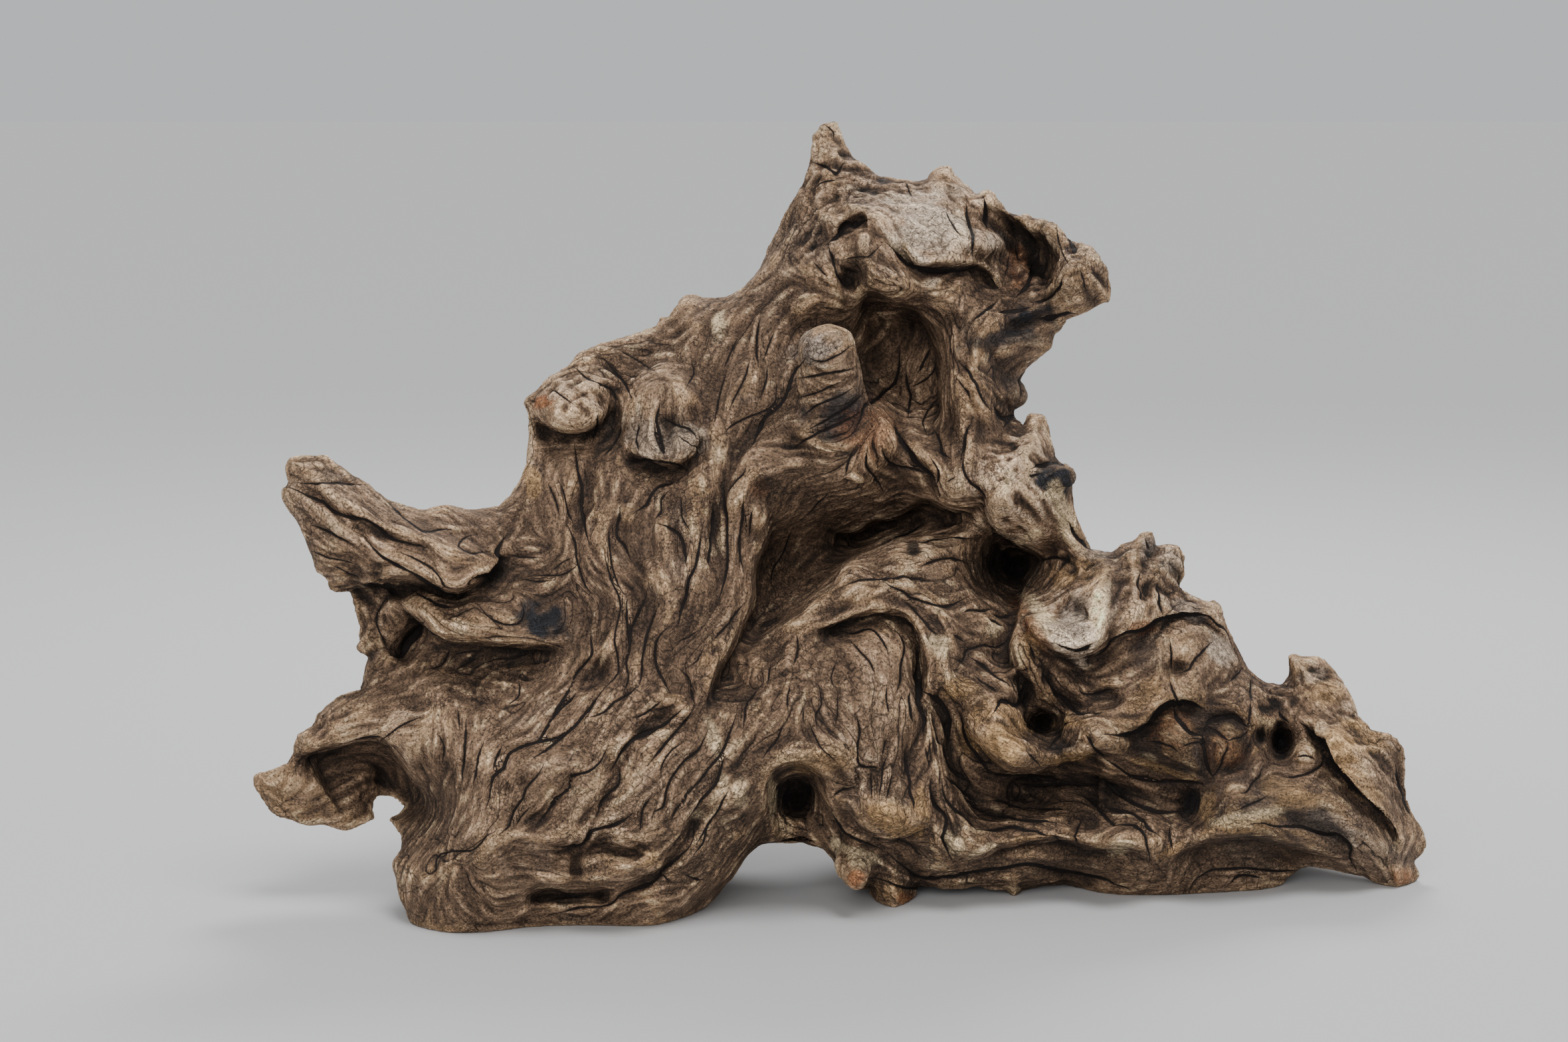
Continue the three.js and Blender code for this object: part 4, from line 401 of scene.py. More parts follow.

# Cracks of the front, and lines of painted shadow under some edges: half width, then the places that the
# line passes, across and up in turn
CRACKS_AND_SHADOW_LINES = [
    [0.8, -14, 216, -18, 210, -20.5, 203.5, -23.5, 198.5, -28.5, 194, -31.5, 188.5, -34, 183],
    [0.5, -24, 206.5, -25, 199, -30, 196, -36.5, 193.5, -41, 191, -43.5, 188.5],
    [0.5, -30.5, 231, -31.5, 225, -31.5, 218.5, -31, 215],
    [0.4, -25, 226, -27, 221.5, -28.5, 216.5],
    [0.4, -27.5, 213.5, -28, 207.5, -30, 202.5],
    [0.45, -34, 216, -36.5, 208.5, -40, 201.5, -41.5, 197.5],
    [0.35, -39, 223.5, -41.5, 218.5, -43.5, 213.5],
    [0.4, -43, 211.5, -45, 205, -46.5, 198.5, -47.5, 192.5],
    [0.35, -56, 215, -55, 211, -57.5, 206.5],
    [0.5, -100, 213, -95, 209, -88.5, 206.5, -85, 203.5, -84.5, 198.5],
    [0.5, -88.5, 216, -84, 211.5, -81, 206.5, -79, 201.5],
    [0.3, -84, 220, -75, 215, -70, 211.5],
    [0.6, -82.5, 191.5, -84, 187.5, -86.5, 183.5, -88.5, 180],
    [0.35, -109, 205, -105, 202.5, -101, 199.5],
    [0.4, -91, 196, -91.5, 190, -94, 186],
    [0.4, -70, 191.5, -69, 186, -66.5, 180],
    [0.5, -66.5, 194, -62.5, 191.5, -56.5, 190, -53.5, 186],
    [0.4, -13.5, 217.5, -7.5, 215, -1, 217.5, 5, 221.5],
    [0.6, -15, 209, -7.5, 210, 0, 211.5, 5, 212.5],
    [0.4, -16, 201.5, -8.5, 203.5, 0, 207.5],
    [0.5, -14, 195, -8.5, 199, -1.5, 201.5, 4, 205],
    [0.6, -11.5, 190, -3.5, 194, 5, 199, 9, 203.5],
    [0.6, -17.5, 183, -9, 188, 0, 191.5, 7.5, 196],
    [0.6, -100, 184, -99, 176, -97, 169, -97.5, 160, -96, 152, -94.5, 146],
    [0.5, -103, 154, -100, 147.5, -99.5, 142, -98, 136, -95.5, 130, -93, 127.5],
    [0.5, -87, 152, -86.5, 145, -86, 138, -84, 132, -81.5, 127.5],
    [0.5, -89, 145, -88, 138, -86, 132, -83.5, 127, -83, 122, -84.5, 116, -85, 110, -84, 105, -84, 98,
     -87.5, 94, -90, 91],
    [0.5, -80.5, 128, -80.5, 122, -80, 114, -79.5, 108, -81, 102, -80, 97, -81.5, 91],
    [0.6, -73, 127.5, -76, 121, -78.5, 115, -79.5, 109, -79.5, 105],
    [0.6, -68.5, 123.5, -71, 118.5, -73.5, 111.5, -74.5, 105, -74.5, 98.5, -76, 92.5],
    [0.6, -65, 115, -68.5, 111, -69.5, 105, -69, 100, -66.5, 95, -64, 91],
    [0.7, -52, 151.5, -53, 144, -54, 138.5, -57, 133.5, -58, 126.5, -60, 121, -61, 116],
    [0.6, -47.5, 161, -47.5, 154, -48.5, 147.5, -49, 141.5, -49, 136.5],
    [0.7, -44, 167.5, -44, 161, -43, 154, -42.5, 146.5, -42.5, 140, -44, 131.5, -45.5, 126.5],
    [0.6, -36.5, 164, -36.5, 157.5, -37.5, 151.5, -37.5, 146, -37, 140, -36.5, 136],
    [0.5, -33, 159, -34, 155, -34, 150],
    [0.7, -68, 154, -63.5, 152.5, -60.5, 150, -59, 145, -58, 138.5],
    [0.7, -61, 171, -65, 169.5, -68.5, 168.5, -71.5, 165, -73, 161.5, -77.5, 158.5],
    [0.5, -65, 166, -67.5, 163.5, -67.5, 159, -70, 156],
    [0.6, -83, 160, -84, 154, -84, 149, -81.5, 146.5, -79, 141],
    [0.4, -60.5, 165, -60, 160, -59.5, 156, -56.5, 151.5],
    [0.6, -36, 175, -40, 170, -43, 166],
    [0.4, -18.5, 151.5, -21.5, 143, -25, 137.5, -26, 131],
    [0.4, -4.5, 166, -7.5, 163, -11, 159, -15, 155],
    [0.5, -36.5, 124, -40, 119, -43.5, 115, -48.5, 110],
    [0.35, -53.5, 114, -57.5, 111.5, -61, 110],
    [0.35, -51.5, 107.5, -54, 103, -56.5, 101],
    [0.35, -60, 99, -57.5, 96.5, -56.5, 92.5],
    [0.45, -16.5, 112.5, -16, 107.5, -17.5, 101.5],
    [0.4, -27.5, 94, -26.5, 101],
    [0.35, -1.5, 102.5, -3.5, 96.5, -2.5, 93],
    [0.4, -115, 135, -105, 135, -99, 138.5],
    [0.3, -101, 141.5, -105, 139.5, -108.5, 136.5],
    [0.5, -94, 114, -94, 109, -93.5, 105, -96.5, 101, -100, 96.5, -102.5, 91.5],
    [0.35, -110, 169, -107.5, 163, -106, 157.5],
    [0.4, -106, 170, -104, 165, -102.5, 160, -100.5, 154],
    [0.5, -141, 80, -141.5, 73.5, -142, 66.5, -142.5, 61.5, -142.5, 57.5],
    [0.45, -134.5, 71.5, -136.5, 66.5, -137, 61.5, -138, 56.5],
    [0.7, -100, 78.5, -106.5, 74, -111, 73, -119, 71, -125, 67.5, -127, 62.5, -131, 59, -132, 54,
     -133, 48.5],
    [0.5, -127.5, 70, -129.5, 66.5, -130.5, 61.5],
    [0.55, -112, 63, -114.5, 59, -118.5, 55, -119.5, 51, -123, 46, -124.5, 41, -128.5, 37.5],
    [0.45, -102, 59, -102.5, 54, -107.5, 51, -110, 46, -114, 41],
    [0.35, -116.5, 48, -120, 44, -121.5, 41.5],
    [0.45, -130, 38.5, -134, 36.5, -136, 33.5, -139.5, 31, -146.5, 31, -152.5, 29, -153, 24, -156.5, 21],
    [0.3, -141.5, 23.5, -139, 17.5, -135.5, 14],
    [0.6, -100, 90, -106.5, 84, -110, 79],
    [0.35, -144, 84, -143.5, 78],
    [0.35, -151.5, 75, -149.5, 70, -150, 65],
    [0.4, -121, 95, -121, 90, -125, 86],
    [0.4, -171.5, 74, -180, 73.5, -188, 71.5],
    [0.4, -158, 81.5, -165, 78.5, -173, 72.5],
    [0.7, -100, 95, -103.5, 90, -107.5, 84, -110, 79, -113.5, 73.5, -115, 71.5],
    [0.7, -89, 92.5, -93.5, 86.5, -97.5, 81.5, -100, 78.5, -104, 75, -110, 70, -115, 66.5],
    [0.5, -76, 93.5, -80, 90, -85, 87.5, -89, 83.5, -94, 81.5],
    [0.5, -67.5, 87.5, -73.5, 82.5, -78.5, 81.5],
    [0.8, -60, 84, -65, 80, -70, 77.5, -75, 75, -79, 71.5, -83, 66.5, -86, 61.5],
    [0.6, -55, 85, -57.5, 81, -61.5, 76.5, -65, 72.5, -69, 67.5, -72.5, 63.5],
    [0.5, -56.5, 95, -56, 91, -55, 87],
    [0.6, -50, 76.5, -53.5, 69, -57.5, 66, -61.5, 61.5, -65, 55, -66.5, 47.5, -70, 46, -71, 42.5],
    [0.4, -67.5, 60, -67, 64, -63.5, 69, -60, 71.5],
    [0.6, -87.5, 71, -91, 64, -96, 60.5, -101.5, 59, -102, 55, -106, 51.5, -109, 47.5, -114, 41.5],
    [0.55, -83, 62.5, -84, 56.5, -86.5, 53.5, -90, 49, -91.5, 45],
    [0.5, -71.5, 51, -74, 47.5, -75, 43.5, -75.5, 39],
    [0.8, -78.5, 45, -81.5, 42.5, -87.5, 40, -93.5, 38.5, -95, 35, -99, 32.5, -106.5, 32.5],
    [0.6, -39, 82.5, -41.5, 76, -43.5, 70, -46, 66, -50, 61.5, -52.5, 57.5, -56.5, 53.5, -59, 48.5],
    [0.5, -56.5, 55, -59, 50, -61.5, 46.5, -63.5, 42.5],
    [0.7, -43.5, 66.5, -46, 58.5, -49, 54, -53.5, 48.5, -56.5, 43.5],
    [0.6, -42.5, 53.5, -46, 46, -50, 40, -54, 33.5],
    [0.55, -55, 41, -56.5, 33.5, -61.5, 28.5, -66.5, 24, -70, 20, -75, 17.5, -81.5, 15, -86, 11.5, -90,
     10, -100, 9, -110, 6.5],
    [0.4, -50, 40, -51.5, 34, -55, 30],
    [0.4, -59, 22.5, -55, 20.5, -51.5, 20],
    [0.4, -67.5, 22.5, -64, 19.5],
    [0.45, -30, 93.5, -35, 87.5, -36, 81.5, -36.5, 77.5],
    [0.4, -21.5, 79, -23.5, 74, -26.5, 70, -29, 66.5],
    [0.4, -19, 93.5, -20, 88.5, -20, 85],
    [0.3, -14, 85, -14, 79],
    [0.45, -8, 93.5, -7, 86.5, -9, 82.5, -9, 77.5],
    [0.35, -12, 80, -10, 75, -6, 68.5, -1, 64],
    [0.35, -1, 91, -1, 84, -1.5, 79],
    [0.5, 6, 82.5, 7.5, 76.5, 7, 70, 7.5, 63.5, 13.5, 63],
    [0.7, -3.5, 46, 0, 39, 4, 36, 10, 33.5, 15, 32],
    [0.4, -3.5, 51, 1.5, 54, 6, 55],
    [0.5, -205, 169.5, -196.5, 169.5, -188.5, 170, -178.5, 169],
    [0.6, -210, 168.5, -205, 167, -200, 164.5, -195, 162.5, -191.5, 159.5, -185, 156.5, -178.5, 155,
     -173.5, 151.5, -169, 148.5, -161, 146.5, -156.5, 145],
    [0.45, -173.5, 165, -168.5, 161, -164, 156.5, -159, 153, -156, 151.5, -150, 152.5, -146.5, 152],
    [0.8, -178.5, 148.5, -173.5, 142.5, -168.5, 139, -163.5, 136.5, -159, 133.5, -155, 131, -148.5,
     127.5, -142.5, 128],
    [0.5, -165, 143.5, -158.5, 140.5, -153.5, 137.5, -151, 134, -148.5, 130, -142.5, 130],
    [1.1, -140, 131, -137.5, 133.5, -131.5, 134.5, -128.5, 137.5, -126.5, 141, -129, 144, -128, 146.5,
     -126.5, 149],
    [0.4, -138.5, 150, -141.5, 149, -143.5, 146, -138.5, 143.5, -132.5, 144],
    [0.6, -199, 153.5, -194, 151.5, -188.5, 148.5, -183.5, 146],
    [0.4, -199, 144, -193.5, 141.5, -186.5, 140, -182.5, 139],
    [0.4, -191, 138.5, -185, 135, -181, 133.5],
    [0.5, -160, 128.5, -155, 126, -150, 124, -146, 123],
    [0.8, -180, 131, -171.5, 130, -166, 127.5],
    [0.45, -136, 123.5, -131.5, 119, -126.5, 116.5, -121.5, 116.5, -119, 120, -120, 124],
    [0.35, -125, 142.5, -120, 141.5, -113.5, 141.5],
    [0.35, -120, 133.5, -113.5, 132.5, -109, 133],
    [0.5, -157.5, 116.5, -155, 114, -151.5, 111.5, -148, 110],
    [1.3, -157, 117, -160, 112.5, -163.5, 108.5, -166, 104],
    [0.4, -171.5, 126, -175, 118.5, -172.5, 111.5, -170, 106.5],
    [0.4, -146.5, 107.5, -150, 101.5, -155, 100],
    [1.1, -5, 259.5, -1, 263, 2, 266, 5, 267, 10, 268.5],
    [0.6, 17, 260.5, 22, 255.5, 27.5, 251, 35, 249.5, 45.5, 249.5, 51.5, 251],
    [0.35, 1, 253.5, 6, 254.5, 11, 255, 15, 259],
    [0.8, 47.5, 274, 49, 267.5, 50, 263.5, 49.5, 255],
    [0.8, 54, 276.5, 55.5, 270, 55.5, 265.5],
    [0.9, 75, 257.5, 73.5, 251, 70, 244.5, 66, 239.5],
    [0.8, 73, 238, 76.5, 239, 82, 243, 83.5, 247],
    [0.6, 59, 238, 54, 234, 50, 231],
    [0.9, 59.5, 234, 65.5, 235, 71, 236],
    [1.0, 75.5, 231.5, 82, 232, 88, 233],
    [0.4, -10, 252.5, -5, 247],
    [0.5, -4.5, 259, -3, 252.5, 0.5, 246, 3, 243],
    [0.7, -10, 290, -5, 288.5, -1, 286, 1, 289.5],
    [0.4, -6, 304.5, -3, 302, -2.5, 300],
    [0.4, -10, 280.5, -6, 283, -1, 283.5],
    [0.4, 81.5, 266, 82, 260.5, 83.5, 255.5, 86, 251.5],
    [0.9, 85.5, 262, 88.5, 258, 86, 255.5],
    [0.35, 90, 251, 92, 246, 92.5, 241.5],
    [0.4, 39.5, 272.5, 42, 267.5, 46, 262],
    [0.35, 24.5, 283, 27, 277.5],
    [0.3, 63.5, 255.5, 63, 251, 61.5, 246],
    [0.3, 66, 259, 67, 252.5],
    [0.7, 22, 219.5, 22, 214.5, 20.5, 207.5, 17, 204.5, 14, 201.5, 10, 199, 8, 193.5, 5.5, 189],
    [0.5, 24.5, 212.5, 25, 206.5, 26.5, 203, 26, 199, 25.5, 194],
    [0.6, 33.5, 220, 31, 215, 29.5, 211.5],
    [0.4, 35.5, 216, 34.5, 211, 31, 208, 27, 206],
    [0.4, 36.5, 201.5, 34, 199, 31.5, 194.5, 31, 192, 32, 189],
    [0.8, 44.5, 215, 48, 211.5, 52, 206, 54.5, 200.5, 56.5, 197],
    [0.4, 43.5, 209, 47, 204.5, 48.5, 201],
    [0.9, 58.5, 198, 61.5, 194, 64.5, 194.5, 62, 191],
    [0.5, 35.5, 189, 37.5, 185, 38, 181.5, 41, 179],
    [0.9, 20.5, 191, 23.5, 185, 26.5, 180, 28, 177, 33, 173, 36, 168.5, 37, 165],
    [0.6, 34, 179, 36.5, 174, 36.5, 169.5],
    [0.6, 16, 182.5, 17, 179, 21, 175.5, 28, 174.5, 31.5, 173],
    [0.5, 10, 182.5, 10, 175.5, 13.5, 171.5, 16, 166.5],
    [0.5, 5.5, 182, 3, 177, 2, 173],
    [0.6, 46.5, 180, 46, 175.5, 48.5, 170, 52, 166.5, 54.5, 163.5],
    [0.4, 39.5, 170, 43.5, 172],
    [0.8, 48.5, 191, 46, 185.5, 45, 180],
    [0.7, 72, 175, 77, 177, 82, 177.5, 84, 176.5],
    [0.6, 71, 172, 75, 173],
    [1.0, 86.5, 154, 89, 150, 92.5, 146.5, 94, 144.5],
    [0.6, 76, 140.5, 81, 141.5, 85.5, 140],
    [0.6, 15.5, 147, 20.5, 149, 26, 151.5, 30.5, 154],
    [0.4, 28, 147.5, 39.5, 149, 51, 148.5],
    [0.5, 0, 130.5, 7, 133.5, 14, 133.5, 23.5, 134.5, 30.5, 133.5, 36.5, 132.5],
    [0.6, 31, 138.5, 36.5, 141, 42.5, 141.5, 48, 139.5],
    [0.6, 16, 132.5, 19, 130.5, 23, 129, 26, 126.5, 29, 125.5, 34, 124, 37.5, 123.5, 41, 123.5, 44.5,
     125, 47.5, 126.5],
    [0.6, 25.5, 124, 28, 122, 30.5, 119, 32.5, 117, 34, 114.5, 36.5, 112.5],
    [0.5, 0, 114, 5, 113.5, 10, 115, 13, 114, 15, 111.5, 17.5, 108, 18, 105.5],
    [0.45, 4, 110, 8.5, 105, 11.5, 101.5, 13, 97.5],
    [0.6, 20.5, 114, 22.5, 112.5, 24, 110, 24.5, 107, 23.5, 103, 23, 99, 23, 96, 22.5, 94, 21.5, 91.5],
    [0.7, 29, 103, 29, 97, 29.5, 92.5, 29.5, 87.5, 30.5, 84.5, 31.5, 81, 31, 77.5, 31, 75.5],
    [0.6, 26, 91, 26.5, 87, 27, 83, 27.5, 79],
    [0.45, 17.5, 92.5, 17.5, 89, 18, 86, 18.5, 83],
    [0.8, 31, 91, 34, 89, 36, 87.5, 38, 85.5, 39.5, 82.5, 41, 80, 41, 76, 41, 72.5],
    [0.5, 34, 83.5, 35.5, 80, 36.5, 76, 37, 72.5, 38, 71],
    [0.7, 38.5, 72.5, 39.5, 68.5, 41, 64, 43, 61, 46, 58.5, 48.5, 56.5],
    [0.6, 40, 59, 43, 57, 46, 54, 49, 51.5, 51.5, 49],
    [0.7, 44.5, 83, 46, 79, 46.5, 75.5, 47.5, 72.5, 49, 70, 51, 67.5, 53, 65, 55.5, 61.5, 58.5, 60],
    [0.4, 33.5, 72.5, 34, 68.5, 34, 65],
    [0.6, 24.5, 68.5, 25, 64.5, 25.5, 61, 26.5, 57, 26.5, 53, 27.5, 49, 27.5, 46.5],
    [0.45, 17.5, 73, 16.5, 69, 16, 67],
    [0.45, 18, 67.5, 16.5, 64, 16, 61.5, 15.5, 58.5, 15, 54.5, 14.5, 51],
    [0.4, 11.5, 60, 11.5, 56, 11.5, 51.5],
    [0.4, 19.5, 60, 19, 57, 18, 53, 17.5, 51],
    [0.7, 49, 104, 52.5, 102.5, 55.5, 100.5, 58.5, 97.5, 61.5, 95.5, 64, 93.5],
    [0.8, 66.5, 98.5, 67.5, 94, 68, 89, 67, 86, 64, 87, 61, 88, 59.5, 86, 57.5, 83],
    [0.4, 50.5, 97, 54, 94.5, 57.5, 92.5, 59, 91],
    [0.45, 41.5, 104, 46, 102.5, 47.5, 106.5, 50, 107.5, 54, 108.5, 58.5, 107.5, 61.5, 109, 64, 112],
    [0.6, 46.5, 121, 49, 122, 53, 122, 57, 122.5],
    [0.6, 57.5, 120.5, 61, 119.5, 65, 120],
    [0.5, 55.5, 119, 58.5, 117.5, 61, 115.5],
    [0.5, 43, 112.5, 45, 111.5, 46.5, 110],
    [0.7, 76, 100, 77, 97, 79, 94, 81, 91, 84, 88.5, 86.5, 86, 89, 83.5, 93, 83, 98, 83.5],
    [0.5, 71.5, 109, 73, 106, 74, 103],
    [0.5, 90, 92.5, 91, 90.5, 93.5, 90, 97, 90, 100, 91.5, 102.5, 91.5],
    [0.5, 87, 79.5, 84, 78.5, 82.5, 75, 80.5, 73, 78.5, 70],
    [0.6, 92.5, 74.5, 94, 72, 96, 69, 99, 66.5],
    [0.8, 81.5, 109, 84.5, 107, 88.5, 105.5, 92.5, 106.5, 95.5, 109],
    [0.5, 70.5, 68.5, 73, 66, 75, 63],
    [0.7, 38.5, 57, 39, 53.5, 40, 51, 42.5, 48, 44.5, 46, 47.5, 43.5, 49.5, 41, 51, 39],
    [0.8, 34, 58.5, 34, 54.5, 35, 51, 36.5, 47.5, 38.5, 45.5, 40, 43, 39.5, 39, 39, 35.5, 40, 31.5,
     42, 27.5],
    [0.4, 32, 70, 33, 66, 34, 62.5],
    [0.45, 46, 51.5, 50, 49, 53, 46.5, 55.5, 46.5],
    [0.6, 51.5, 45, 57, 45, 61.5, 45, 64.5, 44.5, 67, 43.5, 71.5, 43, 77, 42.5, 81.5, 41.5],
    [0.5, 57, 50, 61, 50, 65.5, 48.5, 69, 47.5],
    [0.4, 71, 47.5, 76, 47, 81, 47.5, 84.5, 46.5],
    [0.6, 54, 61, 58.5, 59.5, 64, 59, 69, 59, 74, 58.5, 79, 58, 84, 58],
    [0.5, 67, 56.5, 72.5, 55.5, 77, 56, 81.5, 56.5, 87, 56.5, 92.5, 56, 97, 56],
    [0.8, 98.5, 57.5, 101, 55.5, 105, 52.5, 109, 50, 112.5, 48.5, 116.5, 47, 121.5, 46, 127.5, 46],
    [0.7, 100, 48, 104, 47, 109, 46, 113.5, 43.5, 116.5, 40, 120.5, 36.5],
    [0.7, 89, 52.5, 94, 51, 97.5, 47.5, 100, 44.5, 102.5, 41.5, 103.5, 40.5],
    [0.7, 103.5, 40.5, 107.5, 41.5, 111, 41, 114, 38.5, 115.5, 35.5, 116, 31.5, 116.5, 27],
    [0.6, 51, 39, 55.5, 39.5, 61, 40, 65.5, 40.5, 69, 39.5, 74, 39, 77, 37.5, 81, 36, 82.5, 34.5],
    [0.9, 18, 30, 21.5, 27, 25.5, 24, 29, 21, 34, 20, 38.5, 20.5, 44.5, 21, 51, 22.5, 56, 23.5, 61.5,
     24, 66, 25, 71, 25.5, 76, 24.5, 81.5, 23, 87.5, 22, 94, 21, 100, 20, 104.5, 18, 108.5, 17],
    [0.6, 11.5, 21, 15.5, 20.5, 20, 18.5, 25.5, 17, 31, 17, 36, 16.5, 41.5, 15, 46, 15.5, 49, 17,
     53, 17.5],
    [0.5, 91, 43, 89, 39, 88.5, 36, 89, 34],
    [0.5, 7, 62.5, 11, 62.5, 14, 62.5],
    [0.5, 100, 65.5, 104.5, 62.5, 109, 59.5, 115.5, 58.5, 120, 57.5],
    [1.1, 100, 75, 105, 74.5, 110, 75, 114, 76.5, 116.5, 79, 119, 82, 122.5, 85, 126, 86.5, 130, 86.5,
     134, 85.5, 136.5, 84.5],
    [1.0, 125.5, 84.5, 126.5, 81.5, 129, 79, 131, 76.5, 133.5, 75, 136.5, 74.5],
    [0.8, 136.5, 74.5, 136.5, 71.5, 137, 67.5, 137.5, 64, 138.5, 61.5, 140, 59],
    [0.5, 140, 59, 142, 61, 143.5, 63.5, 144, 66, 145.5, 69, 146, 72],
    [0.8, 137, 77, 138.5, 79.5, 141, 81, 144, 81.5, 148.5, 81.5, 151.5, 79, 153.5, 77.5],
    [0.6, 138, 78, 141, 76.5, 143.5, 74.5, 146, 72.5],
    [0.4, 146, 72.5, 148.5, 73.5, 151.5, 74, 153.5, 76.5],
    [0.45, 129, 70.5, 132.5, 71.5, 136.5, 72],
    [0.45, 115.5, 72.5, 119, 72, 122.5, 71, 125, 70, 127.5, 68],
    [0.7, 108.5, 59, 116.5, 57, 125, 56.5, 132.5, 56.5, 136, 56],
    [1.1, 173.5, 79, 175.5, 77.5, 177.5, 74.5, 180, 73, 182, 70, 183.5, 66.5, 184.5, 63.5, 187.5, 60.5,
     190.5, 57.5, 192.5, 54.5, 196, 51.5, 199.5, 48.5, 202.5, 45.5, 206, 43, 208, 40, 209, 36],
    [0.9, 209, 63.5, 210, 58.5, 211.5, 54, 212.5, 50, 214, 46.5, 214.5, 45],
    [0.8, 154.5, 41, 160, 41.5, 163.5, 40.5, 169, 40.5, 173.5, 40.5, 177.5, 39, 182.5, 37.5, 187.5,
     36.5, 190, 34, 192, 31.5, 191.5, 27.5, 194, 24],
    [0.6, 131.5, 16, 133, 19, 136, 21.5, 140, 23.5, 146, 24, 151.5, 24.5, 157.5, 24, 163.5, 23.5, 171,
     23.5, 175, 24],
    [0.7, 146.5, 19, 150, 21.5, 154, 21.5, 158.5, 21],
    [0.4, 158.5, 61.5, 157.5, 59, 155, 57, 153.5, 54, 151, 53],
    [0.45, 149, 46.5, 154, 48.5, 157.5, 50, 160, 51.5],
    [0.5, 166.5, 59, 172.5, 59.5, 177.5, 61, 181, 63.5, 182, 67.5],
    [0.4, 171, 66.5, 174, 67, 177.5, 66.5, 178.5, 65.5],
    [0.5, 151.5, 79, 154, 79, 154.5, 82.5, 154.5, 87.5],
    [0.7, 165.5, 84, 166.5, 81, 168.5, 79.5],
    [0.5, 124, 40, 124, 36, 125, 31.5],
    [0.9, 96, 104.5, 99, 106, 101.5, 109, 104, 111, 107.5, 112.5, 111.5, 113, 115, 114, 118.5, 116.5,
     121.5, 118, 126, 119, 131, 119.5, 136, 119.5, 139, 119, 141.5, 116.5, 144, 115, 146, 113, 146.5,
     111.5],
    [0.6, 120, 131.5, 120, 128.5, 120.5, 124, 121.5, 120],
    [0.5, 112.5, 136.5, 112.5, 131.5, 113, 127.5, 113.5, 125],
    [0.45, 114.5, 149, 116, 146.5, 116.5, 144.5],
    [0.6, 139.5, 109.5, 136.5, 106, 134, 103.5, 131.5, 100, 128.5, 98.5],
    [0.5, 124, 95, 125, 91.5, 126.5, 89, 126.5, 86.5],
    [0.4, 146.5, 95, 149, 97, 151.5, 100],
    [0.5, 154.5, 96, 154.5, 91.5, 155, 87.5],
    [0.4, 124, 110, 124.5, 105, 124.5, 100],
    [0.8, -68, 199, -69, 193, -67.5, 187, -66, 179],
    [0.4, -76, 192, -77, 186, -76, 181],
    [0.45, -80, 178, -74, 178, -67, 177, -61, 176, -57, 174],
    [0.4, -61, 187, -57, 185, -53, 182],
]
